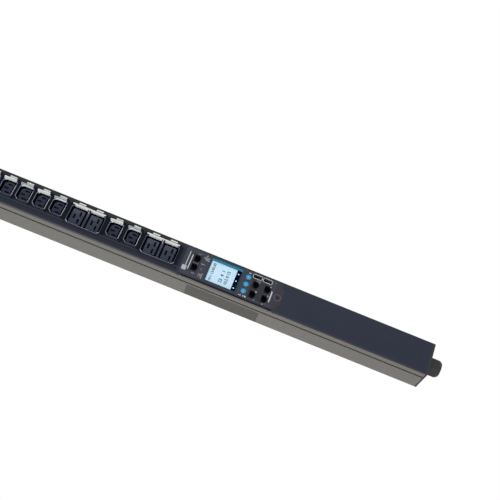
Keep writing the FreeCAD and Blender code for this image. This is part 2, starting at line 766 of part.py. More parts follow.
def gland_body():
    y = -GLAND_DEPTH
    inside = CAP_THICKNESS + GLAND_THREAD_LENGTH
    bore = GLAND_BORE + GLAND_SEAL_WALL
    body = join([
        post(GLAND_THREAD_RADIUS, 0, inside, 0, y),
        hexagon(GLAND_HEX_FLATS, -GLAND_HEX_HEIGHT, 0, 0, y),
        post(GLAND_NECK_RADIUS, -GLAND_HEX_HEIGHT - GLAND_NECK_LENGTH, 0, 0, y),
    ])
    low = -GLAND_HEX_HEIGHT - GLAND_NECK_LENGTH
    way = join([
        post(GLAND_BORE, low, inside, 0, y),
        post(bore, low, -GLAND_HEX_HEIGHT, 0, y),
    ])
    return body.cut(way)


def gland_seal():
    """The rubber sleeve that the nut squeezes round the cord."""
    y = -GLAND_DEPTH
    low = -GLAND_HEX_HEIGHT - GLAND_NECK_LENGTH
    outer = GLAND_BORE + GLAND_SEAL_WALL - SLIDE_FIT
    sleeve = post(outer, low, -GLAND_HEX_HEIGHT, 0, y)
    return sleeve.cut(post(GLAND_BORE, low, -GLAND_HEX_HEIGHT, 0, y))


def gland_nut():
    """A domed hexagonal nut, turned over the neck."""
    y = -GLAND_DEPTH
    top = -GLAND_HEX_HEIGHT - SLIDE_FIT
    low = top - GLAND_NUT_LENGTH
    prism = hexagon(GLAND_HEX_FLATS, low, top, 0, y)
    outer = GLAND_HEX_FLATS / 3 ** 0.5
    profile = Part.makePolygon([
        Vector(0, y, low),
        Vector(GLAND_NUT_TOP_RADIUS, y, low),
        Vector(outer, y, low + GLAND_NUT_LENGTH * 0.45),
        Vector(outer, y, top),
        Vector(0, y, top),
        Vector(0, y, low),
    ])
    dome = Part.Face(profile).revolve(Vector(0, y, 0), Vector(0, 0, 1), 360)
    neck_end = -GLAND_HEX_HEIGHT - GLAND_NECK_LENGTH - SLIDE_FIT
    cavity = post(GLAND_NECK_RADIUS + SLIDE_FIT, neck_end, top, 0, y)
    return prism.common(dome).cut([cavity, post(GLAND_BORE, low, top, 0, y)])


def gland_locknut():
    y = -GLAND_DEPTH
    low = CAP_THICKNESS
    nut = hexagon(GLAND_LOCKNUT_FLATS, low, low + GLAND_LOCKNUT_HEIGHT, 0, y)
    hole = post(GLAND_THREAD_RADIUS + SLIDE_FIT, low, low + GLAND_LOCKNUT_HEIGHT, 0, y)
    return nut.cut(hole)


# Mounting buttons: turned, with a neck for the rack's keyhole and a stud through the back wall

def mounting_button(z):
    head_end = NECK_LENGTH + HEAD_THICKNESS
    return turned([
        (0, -STUD_LENGTH),
        (STUD_RADIUS, -STUD_LENGTH),
        (STUD_RADIUS, 0),
        (NECK_RADIUS, 0),
        (NECK_RADIUS, NECK_LENGTH),
        (HEAD_RADIUS, NECK_LENGTH),
        (HEAD_RADIUS, head_end - HEAD_CHAMFER),
        (HEAD_RADIUS - HEAD_CHAMFER, head_end),
        (0, head_end),
    ], 0, z)


def mounting_nuts():
    nuts = []
    for z in button_heights():
        nut = hexagon(NUT_FLATS, 0, NUT_HEIGHT, 0, 0)
        nut = nut.cut(post(STUD_RADIUS + SLIDE_FIT, 0, NUT_HEIGHT, 0, 0))
        nut.rotate(Vector(0, 0, 0), Vector(1, 0, 0), 90)
        nut.translate(Vector(0, -BACK_WALL, z))
        nuts.append(nut)
    return Part.makeCompound(nuts)


# Controller module: a moulded panel with a rim that carries the board, display, keys and jacks

def key_places():
    return [(KEY_CENTRE_X + k * KEY_PITCH, KEY_LEVEL) for k in (-1, 0, 1)]


def sensor_ports():
    half = SENSOR_PORT_PITCH / 2
    return [(SENSOR_JACK_X + side * half, SENSOR_JACK_LEVEL) for side in (-1, 1)]


def network_ports():
    half_x = NETWORK_PORT_PITCH_X / 2
    half_z = NETWORK_PORT_PITCH_Z / 2
    return [
        (NETWORK_JACK_X + sx * half_x, NETWORK_JACK_LEVEL + sz * half_z)
        for sx in (-1, 1) for sz in (-1, 1)
    ]


def usb_places():
    return [(USB_X, USB_LEVEL + side * USB_PITCH / 2) for side in (-1, 1)]


def board_bosses():
    half = housing_half() - BOARD_BOSS_INSET
    low = PANEL_BOTTOM + HOUSING_FOOT_INSET + BOARD_BOSS_INSET
    high = CONTROLLER_TOP - PANEL_FIT - HOUSING_INSET - BOARD_BOSS_INSET
    return [(x, z) for x in (-half, half) for z in (low, high)]


def housing_half():
    """Half the rim's width: it stands clear inside the cover's legs."""
    return HALF - SIDE_WALL - SLIDE_FIT - LEG_THICKNESS - LEG_GAP


def controller_housing():
    panel = controller_block(PANEL_FIT, PANEL_FRONT, PANEL_BACK)
    front_edges = [
        edge for edge in panel.Edges
        if all(abs(v.Point.y - PANEL_FRONT) < 0.01 for v in edge.Vertexes)
    ]
    panel = panel.makeChamfer(PANEL_EDGE_RADIUS, front_edges)
    half = housing_half()
    low = PANEL_BOTTOM + HOUSING_FOOT_INSET
    high = CONTROLLER_TOP - PANEL_FIT - HOUSING_INSET
    wall = HOUSING_WALL
    rim = box(-half, half, PANEL_BACK, BOARD_FRONT, low, high).cut(
        box(-half + wall, half - wall, PANEL_BACK, BOARD_FRONT, low + wall, high - wall))
    bosses = [rod(BOARD_BOSS_RADIUS, PANEL_BACK, BOARD_FRONT, x, z) for x, z in board_bosses()]
    tube_x, tube_z = captive_place()
    bosses.append(rod(CAPTIVE_HEAD_RADIUS + HOUSING_WALL, PANEL_BACK,
                      PANEL_BACK + HOUSING_WALL, tube_x, tube_z))
    body = join([panel, rim] + bosses)
    return body.cut(panel_openings())


def captive_place():
    return CAPTIVE_X, PANEL_BOTTOM + CAPTIVE_FROM_BOTTOM


def panel_openings():
    z = WINDOW_LEVEL
    half_w = WINDOW_WIDTH / 2
    half_l = WINDOW_LENGTH / 2
    seat_end = PANEL_FRONT + WINDOW_THICKNESS
    seat = box(-half_w, half_w, PANEL_FRONT, seat_end, z - half_l, z + half_l)
    seat = seat.makeFillet(WINDOW_RADIUS, edges_along(seat, Vector(0, 1, 0)))
    rim = WINDOW_RIM
    cuts = [
        seat,
        box(-half_w + rim, half_w - rim, seat_end, PANEL_BACK,
            z - half_l + rim, z + half_l - rim),
    ]
    for x, key_z in key_places():
        cuts.append(rod(KEY_RADIUS + KEY_FIT, PANEL_FRONT, PANEL_BACK, x, key_z))
    for centre, half in jack_bodies() + usb_bodies():
        cuts.append(box(
            centre[0] - half[0] - JACK_FIT, centre[0] + half[0] + JACK_FIT,
            PANEL_FRONT, PANEL_BACK,
            centre[1] - half[1] - JACK_FIT, centre[1] + half[1] + JACK_FIT))
    for x, boss_z in board_bosses():
        start = BOARD_FRONT - BOARD_SCREW_LENGTH
        cuts.append(rod(BOARD_SCREW_RADIUS + SLIDE_FIT, start, BOARD_FRONT, x, boss_z))
    x, screw_z = captive_place()
    head_end = PANEL_FRONT + JACK_RECESS + CAPTIVE_HEAD_HEIGHT
    cuts.append(rod(CAPTIVE_HEAD_RADIUS + KEY_FIT, PANEL_FRONT, head_end, x, screw_z))
    shank = CAPTIVE_SHANK_RADIUS + KEY_FIT
    cuts.append(rod(shank, head_end, PANEL_BACK + HOUSING_WALL, x, screw_z))
    return cuts


def jack_bodies():
    sensor = (SENSOR_JACK_X, SENSOR_JACK_LEVEL)
    network = (NETWORK_JACK_X, NETWORK_JACK_LEVEL)
    return [(sensor, SENSOR_JACK_HALF), (network, NETWORK_JACK_HALF)]


def usb_bodies():
    return [(place, USB_HALF) for place in usb_places()]


def jack(centre, half, ports, lights):
    """A moulded jack block: each port is a rectangle with the catch's key way below it."""
    face = PANEL_FRONT + JACK_RECESS
    block = box(centre[0] - half[0], centre[0] + half[0], face, BOARD_FRONT,
                centre[1] - half[1], centre[1] + half[1])
    cuts = []
    for x, z in ports:
        half_w = PORT_WIDTH / 2
        half_h = PORT_HEIGHT / 2
        key_w = PORT_KEY_WIDTH / 2
        end = face + PORT_DEPTH
        cuts.append(box(x - half_w, x + half_w, face, end, z - half_h, z + half_h))
        key_low = z - half_h - PORT_KEY_HEIGHT
        cuts.append(box(x - key_w, x + key_w, face, end, key_low, z - half_h))
    for x, z in lights:
        half_l = LIGHT_SIZE / 2
        cuts.append(box(x - half_l, x + half_l, face, face + LIGHT_DEPTH,
                        z - half_l, z + half_l))
    return block.cut(cuts)


def light_places():
    return [(x + LIGHT_OFFSET[0], z + LIGHT_OFFSET[1]) for x, z in network_ports()]


def port_lights():
    face = PANEL_FRONT + JACK_RECESS
    half = LIGHT_SIZE / 2
    return Part.makeCompound([
        box(x - half, x + half, face, face + LIGHT_DEPTH, z - half, z + half)
        for x, z in light_places()
    ])


def usb_ports():
    """Two folded metal receptacles, each with its contact tongue."""
    face = PANEL_FRONT + JACK_RECESS
    end = face + USB_DEPTH
    shells = []
    for x, z in usb_places():
        half_x, half_z = USB_HALF
        shell = box(x - half_x, x + half_x, face, end, z - half_z, z + half_z)
        inner_x = half_x - USB_SHELL
        inner_z = half_z - USB_SHELL
        back = end - 2 * USB_SHELL
        shell = shell.cut(box(x - inner_x, x + inner_x, face, back, z - inner_z, z + inner_z))
        high = x + inner_x
        tongue = box(high - 2 * USB_TONGUE[0], high - USB_TONGUE[0], face + 1.0, back,
                     z - USB_TONGUE[1], z + USB_TONGUE[1])
        shells.append(join([shell, tongue]))
    return Part.makeCompound(shells)


def controller_board():
    half = housing_half()
    low = PANEL_BOTTOM + HOUSING_FOOT_INSET
    high = CONTROLLER_TOP - PANEL_FIT - HOUSING_INSET
    board = box(-half, half, BOARD_FRONT, -BOARD_DEPTH, low, high)
    holes = [
        rod(BOARD_SCREW_RADIUS + SLIDE_FIT, BOARD_FRONT, -BOARD_DEPTH, x, z)
        for x, z in board_bosses()
    ]
    return board.cut(holes)


def board_screws():
    start = BOARD_FRONT - BOARD_SCREW_LENGTH + 1.0
    head_end = -BOARD_DEPTH + BOARD_SCREW_HEAD * 0.7
    return Part.makeCompound([
        join([
            rod(BOARD_SCREW_RADIUS, start, head_end, x, z),
            rod(BOARD_SCREW_HEAD, -BOARD_DEPTH, head_end, x, z),
        ])
        for x, z in board_bosses()
    ])


def display_window():
    z = WINDOW_LEVEL
    half_w = WINDOW_WIDTH / 2 - WINDOW_FIT
    half_l = WINDOW_LENGTH / 2 - WINDOW_FIT
    pane = box(-half_w, half_w, PANEL_FRONT, PANEL_FRONT + WINDOW_THICKNESS,
               z - half_l, z + half_l)
    return pane.makeFillet(WINDOW_RADIUS, edges_along(pane, Vector(0, 1, 0)))


def display_panel():
    z = WINDOW_LEVEL
    half_w = WINDOW_WIDTH / 2 + DISPLAY_MARGIN
    half_l = WINDOW_LENGTH / 2 + DISPLAY_MARGIN
    return box(-half_w, half_w, PANEL_BACK, PANEL_BACK + DISPLAY_THICKNESS,
               z - half_l, z + half_l)


def key_stem_end():
    plunger = BOARD_FRONT - SWITCH_HEIGHT - SWITCH_PLUNGER_HEIGHT
    return plunger - SWITCH_GAP - KEY_TRAVEL


def key(x, z):
    """A round key: a dished cap, a flange behind the panel and a stem over its switch."""
    top = PANEL_FRONT - KEY_PROUD
    flange = PANEL_BACK + KEY_FLANGE_GAP
    flange_end = flange + KEY_FLANGE_THICKNESS
    return turned([
        (0, top + KEY_DISH),
        (KEY_RADIUS * 0.45, top + KEY_DISH * 0.7),
        (KEY_RADIUS - KEY_EDGE, top),
        (KEY_RADIUS, top + KEY_EDGE),
        (KEY_RADIUS, flange),
        (KEY_FLANGE_RADIUS, flange),
        (KEY_FLANGE_RADIUS, flange_end),
        (KEY_STEM_RADIUS, flange_end),
        (KEY_STEM_RADIUS, key_stem_end()),
        (0, key_stem_end()),
    ], x, z)


def key_switches():
    half = SWITCH_SIZE / 2
    body_top = BOARD_FRONT - SWITCH_HEIGHT
    return Part.makeCompound([
        join([
            box(x - half, x + half, body_top, BOARD_FRONT, z - half, z + half),
            rod(SWITCH_PLUNGER_RADIUS, body_top - SWITCH_PLUNGER_HEIGHT, body_top, x, z),
        ])
        for x, z in key_places()
    ])


def captive_screw():
    x, z = captive_place()
    head = PANEL_FRONT + JACK_RECESS
    head_end = head + CAPTIVE_HEAD_HEIGHT
    screw = join([
        rod(CAPTIVE_HEAD_RADIUS, head, head_end, x, z),
        rod(CAPTIVE_SHANK_RADIUS, head, head + CAPTIVE_LENGTH, x, z),
    ])
    arm = CAPTIVE_HEAD_RADIUS * 0.65
    width = CAPTIVE_HEAD_RADIUS * 0.14
    end = head + SCREW_SOCKET_DEPTH
    return screw.cut([
        box(x - arm, x + arm, head, end, z - width, z + width),
        box(x - width, x + width, head, end, z - arm, z + arm),
    ])


os.makedirs("parts", exist_ok=True)

save("chassis_channel", chassis_channel())
save("front_cover", front_cover())
save("end_cap_top", end_cap(True))
save("end_cap_bottom", end_cap(False))
save("end_cap_screws", end_cap_screws())

for number, height in enumerate(C13_CENTRES, 1):
    save("c13_outlet_%02d" % number, c13_outlet(height))
for number, height in enumerate(C19_CENTRES, 1):
    save("c19_outlet_pair_%d" % number, c19_module(height))

for pin, pole in enumerate(("line", "neutral", "earth")):
    save(pole + "_contacts", contacts(pin))
save("line_busbar", busbar(BAR_X, BAR_WIDTH, BAR_DEPTH))
save("neutral_busbar", busbar(-BAR_X, BAR_WIDTH, BAR_DEPTH))
save("earth_busbar", busbar(0, EARTH_BAR_WIDTH, EARTH_BAR_DEPTH))
save("busbar_supports", busbar_supports())
save("current_sensor", current_sensor())
save("terminal_block", terminal_block())
save("terminal_screws", terminal_screws())

save("gland_body", gland_body())
save("gland_seal", gland_seal())
save("gland_nut", gland_nut())
save("gland_locknut", gland_locknut())

for name, height in zip(("lower", "upper"), button_heights()):
    save("mounting_button_" + name, mounting_button(height))
save("mounting_nuts", mounting_nuts())

save("controller_housing", controller_housing())
save("controller_board", controller_board())
save("board_screws", board_screws())
save("display_window", display_window())
save("display_panel", display_panel())
for name, place in zip(("left", "middle", "right"), key_places()):
    save("key_" + name, key(*place))
save("key_switches", key_switches())
save("sensor_jack", jack(*jack_bodies()[0], sensor_ports(), []))
save("network_jack", jack(*jack_bodies()[1], network_ports(), light_places()))
save("port_lights", port_lights())
save("usb_ports", usb_ports())
save("captive_screw", captive_screw())
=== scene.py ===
import math

import bmesh
import bpy
from mathutils import Matrix, Vector


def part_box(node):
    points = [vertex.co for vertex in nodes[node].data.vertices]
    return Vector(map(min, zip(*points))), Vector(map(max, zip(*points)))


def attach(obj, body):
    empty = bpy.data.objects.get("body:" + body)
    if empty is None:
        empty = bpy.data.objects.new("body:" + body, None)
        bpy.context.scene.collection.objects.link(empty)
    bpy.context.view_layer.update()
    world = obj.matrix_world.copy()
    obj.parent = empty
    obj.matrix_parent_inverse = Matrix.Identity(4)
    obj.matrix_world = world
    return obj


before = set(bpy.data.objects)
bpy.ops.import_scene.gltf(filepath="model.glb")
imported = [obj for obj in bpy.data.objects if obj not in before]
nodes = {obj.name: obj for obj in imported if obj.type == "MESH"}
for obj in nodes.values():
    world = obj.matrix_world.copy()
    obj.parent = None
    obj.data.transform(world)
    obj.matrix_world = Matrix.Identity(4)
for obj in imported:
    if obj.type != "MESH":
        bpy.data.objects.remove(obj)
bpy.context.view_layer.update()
MM = 0.001


# Chassis channel
# One aluminium extrusion with a bracket groove down each side, powder coated in warm grey.
# The draw lines of the die run along it and show faintly through the coat. A darker plate
# is let in flush on the left side, behind the groove, and the groove's inside is painted
# dark as shade.

class Shade:
    """A number or colour inside a finish; sums and products of numbers become Math nodes."""

    def __init__(self, tree, socket):
        self.tree = tree
        self.socket = socket

    def node(self, kind, settings, sockets, out=0):
        """Add a node with its settings, feed its sockets and return one of its outputs."""
        made = self.tree.nodes.new(kind)
        for name, value in settings.items():
            setattr(made, name, value)
        for name, value in sockets.items():
            if isinstance(value, Shade):
                self.tree.links.new(value.socket, made.inputs[name])
            else:
                made.inputs[name].default_value = value
        return Shade(self.tree, made.outputs[out])

    def math(self, operation, *values):
        return self.node("ShaderNodeMath", {"operation": operation}, dict(enumerate(values)))

    def __add__(self, other):
        return self.math("ADD", self, other)

    def __sub__(self, other):
        return self.math("SUBTRACT", self, other)

    def __rsub__(self, other):
        return self.math("SUBTRACT", other, self)

    def __mul__(self, other):
        return self.math("MULTIPLY", self, other)

    def __gt__(self, other):
        return self.math("GREATER_THAN", self, other)

    def __lt__(self, other):
        return self.math("LESS_THAN", self, other)

    def __abs__(self):
        return self.math("ABSOLUTE", self)

    def larger(self, other):
        """The larger of two numbers."""
        return self.math("MAXIMUM", self, other)

    def within(self, low, high):
        """1 where this number lies between two others, else 0."""
        return (self > low) * (self < high)

    def axis(self, number):
        """One of the three parts of a place or direction."""
        return self.node("ShaderNodeSeparateXYZ", {}, {0: self}, number)

    def between(self, low, high):
        """Blend two colours by this number."""
        sockets = {0: self, 6: low, 7: high}
        return self.node("ShaderNodeMix", {"data_type": "RGBA"}, sockets, 2)

    def specks(self, size, stretch=(1, 1, 1), detail=3.0):
        """Soft random spots, about that many metres across, drawn out by the stretch."""
        scale = [1 / (size * s) for s in stretch]
        placed = self.node("ShaderNodeMapping", {}, {"Vector": self, "Scale": scale})
        return self.node("ShaderNodeTexNoise", {}, {"Vector": placed, "Scale": 1, "Detail": detail})

    def ramp(self, low, high):
        """Rise smoothly from 0 to 1 as this number goes from low to high."""
        sockets = {"Value": self, "From Min": low, "From Max": high}
        return self.node("ShaderNodeMapRange", {"interpolation_type": "SMOOTHSTEP"}, sockets)

    def relief(self, depth):
        """Turn this number into a surface relief of that depth in metres."""
        sockets = {"Strength": 1.0, "Distance": depth, "Height": self}
        return self.node("ShaderNodeBump", {}, sockets)


def colour(red, green, blue):
    """A colour as a screen shows it, in the light values that a shader takes."""
    shares = [c / 255 for c in (red, green, blue)]
    light = [s / 12.92 if s < 0.04045 else ((s + 0.055) / 1.055) ** 2.4 for s in shares]
    return (*light, 1.0)


def start_finish(name, **constants):
    """Begin a material: return it, its shader and the place on the piece in metres."""
    made = bpy.data.materials.new(name)
    made.use_nodes = True
    tree = made.node_tree
    shader = tree.nodes["Principled BSDF"]
    for socket, value in constants.items():
        shader.inputs[socket.replace("_", " ")].default_value = value
    place = Shade(tree, tree.nodes.new("ShaderNodeTexCoord").outputs["Object"])
    return made, shader, place


def feed(shader, **shades):
    """Link numbers and colours that vary over the piece into a shader's sockets."""
    for socket, shade in shades.items():
        shade.tree.links.new(shade.socket, shader.inputs[socket.replace("_", " ")])


def dress(finish, *names):
    """Give CAD nodes a finish in place of their plain one."""
    for name in names:
        for slot in nodes[name].material_slots:
            slot.material = finish


GROOVE_WALL = (0.0254, 0.0267)
GROOVE_DEPTHS = (-0.0415, -0.0358)
LEFT_SIDE = -0.0274
PLATE_MIDDLE_Y, PLATE_MIDDLE_Z = -0.01775, 0.24875
PLATE_HALF_Y, PLATE_HALF_Z = 0.01565, 0.05925
PLATE_BORDER = 0.0005

chassis_coat, shader, place = start_finish("chassis_coat", IOR=1.45)
draw_lines = place.specks(0.0006, (1, 1, 300), 2)
clouds = place.specks(0.03, (1, 1, 3))
orange_peel = place.specks(0.0008)
depth = place.axis(1)
# painted shade: the inside of each groove is darker
painted_groove_shade = abs(place.axis(0)).within(*GROOVE_WALL) * depth.within(*GROOVE_DEPTHS)
coat = (draw_lines * 0.5 + clouds * 0.5).between(colour(111, 107, 102), colour(120, 117, 113))
past_depth = abs(depth - PLATE_MIDDLE_Y) - PLATE_HALF_Y
past_height = abs(place.axis(2) - PLATE_MIDDLE_Z) - PLATE_HALF_Z
past_plate = past_depth.larger(past_height)
plate = clouds.between(colour(61, 59, 54), colour(71, 68, 63))
plate = (past_plate > -PLATE_BORDER).between(plate, colour(52, 50, 46))
on_plate = (past_plate < 0) * (place.axis(0) < LEFT_SIDE)
coat = on_plate.between(coat, plate)
feed(
    shader,
    Base_Color=painted_groove_shade.between(coat, colour(56, 53, 46)),
    Roughness=orange_peel * 0.16 + 0.42,
    Normal=(orange_peel * 0.6 + draw_lines * 0.4).relief(0.00004),
)
dress(chassis_coat, "chassis_channel")


# Front cover
# A second extrusion in dark navy, snapped over the channel, with a cut for every outlet.
# Its coat has a slight eggshell texture. It is painted darker among the outlets as shade,
# with painted highlights on the rounded edges and along each outlet flange's edge and a
# painted shadow line beside the controller panel; on the sides it is as grey as the channel.

OUTLETS_START = (0.326, 0.336)
DARK_TO_FLANK = (0.0150, 0.0215)
FLANGE_HIGHLIGHT = (0.0157, 0.0176)
PANEL_HEIGHTS = (0.1745, 0.3225)
PANEL_SIDE = 0.0236
EDGE_ROUNDS, GAP_SHADOW_START, GAP_SHADOW_END, SIDE_START = -0.0540, -0.0546, -0.0531, -0.0518

cover_coat, shader, place = start_finish("cover_coat", IOR=1.4, Specular_IOR_Level=0.1)
clouds = place.specks(0.05, (1, 1, 2))
orange_peel = place.specks(0.0006)
across = abs(place.axis(0))
depth = place.axis(1)
height = place.axis(2)
left = place.axis(0) < 0
by_outlets = height.ramp(*OUTLETS_START)
blank = clouds.between(colour(51, 56, 70), colour(58, 63, 77))
# painted shade: the coat is darkest among the outlets, lighter towards the flanks
shaded = clouds.between(colour(13, 15, 29), colour(19, 21, 36))
right_flank = clouds.between(colour(47, 49, 53), colour(54, 56, 59))
left_flank = clouds.between(colour(43, 47, 58), colour(50, 54, 65))
coat = across.ramp(*DARK_TO_FLANK).between(shaded, left.between(right_flank, left_flank))
# painted highlight: a pale line along the edge of each outlet's flange, on the left
coat = (across.within(*FLANGE_HIGHLIGHT) * left).between(coat, colour(58, 63, 76))
coat = by_outlets.between(blank, coat)
# painted highlight: the rounded edges are paler, more so by the outlets
rim_highlight = by_outlets.between(colour(66, 67, 74), colour(86, 88, 90))
coat = (depth > EDGE_ROUNDS).between(coat, rim_highlight)
# painted shadow: a near-black band on the rounded edge beside the panel, between the front and the
# grey side
edge_and_gap_shadow = (depth > GAP_SHADOW_START).between(colour(60, 63, 76), colour(8, 8, 12))
edge_and_gap_shadow = (depth > GAP_SHADOW_END).between(edge_and_gap_shadow, colour(112, 110, 111))
beside_panel = height.within(*PANEL_HEIGHTS) * (across > PANEL_SIDE)
coat = beside_panel.between(coat, edge_and_gap_shadow)
coat = (depth > SIDE_START).between(coat, colour(124, 122, 119))
feed(
    shader,
    Base_Color=coat,
    Roughness=orange_peel * 0.2 + 0.45,
    Normal=orange_peel.relief(0.00003),
)
dress(cover_coat, "front_cover")


# Outlets
# Each is one moulding in black nylon: a keyed nose stands sunk in a bevelled well. The
# noses' faces are greyer, with a painted sheen towards the labels; the bevelled lips carry
# painted highlights, and the face among the outlets is painted near black as shade.

SQUARE_ON = 0.95
BEVELLED = (0.3, 0.9)
LIP_LEVEL = -0.0535
NOSE_LEVELS = (-0.0498, -0.049)
FLANGE_LEVEL, FLANGE_LEFT = -0.054, -0.0125
TO_LABELS = (0.003, 0.010)
UNDER_LABELS = 0.0095


def outlet_nylon(name, rightward_lip_highlight, upward_lip_highlight, other_lip_highlight, nose_low, nose_high, painted_sheen):
    """Black nylon with painted highlights on its lips, painted shade among the outlets and paler
    sunk noses with a painted sheen.
    """
    finish, shader, place = start_finish(name, IOR=1.45, Specular_IOR_Level=0.1)
    normal = place.node("ShaderNodeNewGeometry", {}, {}, 1)
    facing = abs(normal.axis(1))
    across = place.axis(0)
    depth = place.axis(1)
    grain = place.specks(0.0005)
    wear = place.specks(0.004)
    # the nylon's black also serves as painted shade on the face among the outlets; the flange left
    # of each well stays paler
    black_and_shade_tone = grain.between(colour(9, 11, 24), colour(15, 17, 32))
    flange_tone = grain.between(colour(32, 36, 47), colour(40, 44, 56))
    flange = (facing > SQUARE_ON) * (depth < FLANGE_LEVEL) * (across < FLANGE_LEFT)
    tone = flange.between(black_and_shade_tone, flange_tone)
    nose_tone = (grain * 0.5 + wear * 0.5).between(colour(*nose_low), colour(*nose_high))
    # painted sheen: the noses lighten towards the labels
    lit = across.ramp(*TO_LABELS) * painted_sheen
    nose_tone = lit.between(nose_tone, colour(168, 174, 186))
    nose = (facing > SQUARE_ON) * depth.within(*NOSE_LEVELS)
    tone = nose.between(tone, nose_tone)
    # painted highlights: each bevelled lip is paler, by the way it faces
    upward = (normal.axis(2) > BEVELLED[0]) * (across < UNDER_LABELS)
    lip_highlight = upward.between(colour(*other_lip_highlight), colour(*upward_lip_highlight))
    lip_highlight = (normal.axis(0) > BEVELLED[0]).between(lip_highlight, colour(*rightward_lip_highlight))
    lip = facing.within(*BEVELLED) * (depth < LIP_LEVEL)
    feed(
        shader,
        Base_Color=lip.between(tone, lip_highlight),
        Roughness=grain * 0.2 + 0.38,
        Normal=grain.relief(0.00003),
    )
    return finish


c13_nylon = outlet_nylon(
    "c13_nylon",
    rightward_lip_highlight=(158, 163, 180),
    upward_lip_highlight=(232, 236, 244),
    other_lip_highlight=(136, 141, 158),
    nose_low=(43, 46, 63),
    nose_high=(58, 62, 81),
    painted_sheen=0.03,
)
c19_nylon = outlet_nylon(
    "c19_nylon",
    rightward_lip_highlight=(206, 212, 226),
    upward_lip_highlight=(84, 88, 104),
    other_lip_highlight=(104, 108, 124),
    nose_low=(53, 58, 75),
    nose_high=(69, 74, 93),
    painted_sheen=0.09,
)
dress(c13_nylon, *[name for name in nodes if name.startswith("c13_outlet")])
dress(c19_nylon, *[name for name in nodes if name.startswith("c19_outlet")])


# Outlet label strips
# Printed film beside every outlet, cut with rounded corners and stuck on: one strip is
# folded over the well's lip, one lies on the outlet's face and a tab on the cover. The
# strips on the faces of every second C13 outlet are grey, the others white.

FILM = 0.08
FACE, RIB, COVER = -54.4, -49.4, -55.0


def centres(kind):
    """Heights in millimetres of all the outlets of one kind."""
    boxes = [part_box(name) for name in sorted(nodes) if name.startswith(kind)]
    return [(low[2] + high[2]) / 2 / MM for low, high in boxes]


C13_CENTRES = centres("c13_outlet")
C19_CENTRES = centres("c19_outlet")


def new_piece(name, mesh, finish):
    """Put a mesh into the scene as a piece of the unit."""
    mesh.materials.append(finish)
    piece = bpy.data.objects.new(name, mesh)
    bpy.context.scene.collection.objects.link(piece)
    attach(piece, "unit")
    return piece


def set_piece(name, shape, finish):
    """Turn a shape that is ready into a piece of the unit."""
    mesh = bpy.data.meshes.new(name)
    shape.to_mesh(mesh)
    shape.free()
    return new_piece(name, mesh, finish)


def strip_tree():
    """Geometry Nodes that set one rounded slab on every vertex, facing the front."""
    tree = bpy.data.node_groups.new("rounded_strips", "GeometryNodeTree")
    faces = tree.interface
    faces.new_socket(name="Places", in_out="INPUT", socket_type="NodeSocketGeometry")
    for name in ("Width", "Height", "Corner", "Thickness"):
        faces.new_socket(name=name, in_out="INPUT", socket_type="NodeSocketFloat")
    faces.new_socket(name="Finish", in_out="INPUT", socket_type="NodeSocketMaterial")
    faces.new_socket(name="Strips", in_out="OUTPUT", socket_type="NodeSocketGeometry")
    given = tree.nodes.new("NodeGroupInput").outputs
    width, height, corner, thickness, finish = [
        Shade(tree, given[name]) for name in ("Width", "Height", "Corner", "Thickness", "Finish")
    ]
    outline = width.node(
        "GeometryNodeCurvePrimitiveQuadrilateral", {}, {"Width": width, "Height": height}
    )
    eased = outline.node(
        "GeometryNodeFilletCurve",
        {"mode": "POLY"},
        {"Curve": outline, "Count": 5, "Limit Radius": True, "Radius": corner},
    )
    sheet = eased.node("GeometryNodeFillCurve", {"mode": "NGONS"}, {"Curve": eased})
    raised = sheet.node(
        "GeometryNodeExtrudeMesh",
        {"mode": "FACES"},
        {"Mesh": sheet, "Offset Scale": thickness, "Individual": False},
    )
    back = sheet.node("GeometryNodeFlipFaces", {}, {"Mesh": sheet})
    both = tree.nodes.new("GeometryNodeJoinGeometry")
    tree.links.new(raised.socket, both.inputs[0])
    tree.links.new(back.socket, both.inputs[0])
    joined = Shade(tree, both.outputs[0])
    closed = joined.node("GeometryNodeMergeByDistance", {}, {"Geometry": joined, "Distance": 1e-6})
    upright = closed.node(
        "GeometryNodeTransform", {}, {"Geometry": closed, "Rotation": (math.pi / 2, 0, 0)}
    )
    set_out = upright.node(
        "GeometryNodeInstanceOnPoints",
        {},
        {"Points": Shade(tree, given["Places"]), "Instance": upright},
    )
    real = set_out.node("GeometryNodeRealizeInstances", {}, {"Geometry": set_out})
    dressed = real.node("GeometryNodeSetMaterial", {}, {"Geometry": real, "Material": finish})
    tree.links.new(dressed.socket, tree.nodes.new("NodeGroupOutput").inputs[0])
    return tree


STRIP_TREE = strip_tree()


def strips(name, places, size, finish, corner, thickness=FILM):
    """Rounded slabs of one size in millimetres, their backs on the given places."""
    seed = bpy.data.meshes.new(name + "_places")
    seed.from_pydata([[c * MM for c in place] for place in places], [], [])
    seeds = bpy.data.objects.new(name + "_places", seed)
    bpy.context.scene.collection.objects.link(seeds)
    maker = seeds.modifiers.new("strips", "NODES")
    maker.node_group = STRIP_TREE
    values = {
        "Width": size[0] * MM,
        "Height": size[1] * MM,
        "Corner": corner * MM,
        "Thickness": thickness * MM,
        "Finish": finish,
    }
    for item in STRIP_TREE.interface.items_tree:
        if item.name in values:
            maker[item.identifier] = values[item.name]
    graph = bpy.context.evaluated_depsgraph_get()
    mesh = bpy.data.meshes.new_from_object(seeds.evaluated_get(graph))
    mesh.name = name
    bpy.data.objects.remove(seeds)
    piece = bpy.data.objects.new(name, mesh)
    bpy.context.scene.collection.objects.link(piece)
    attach(piece, "unit")
    return piece


SHADE_LINE = (0.01585, 0.0165)


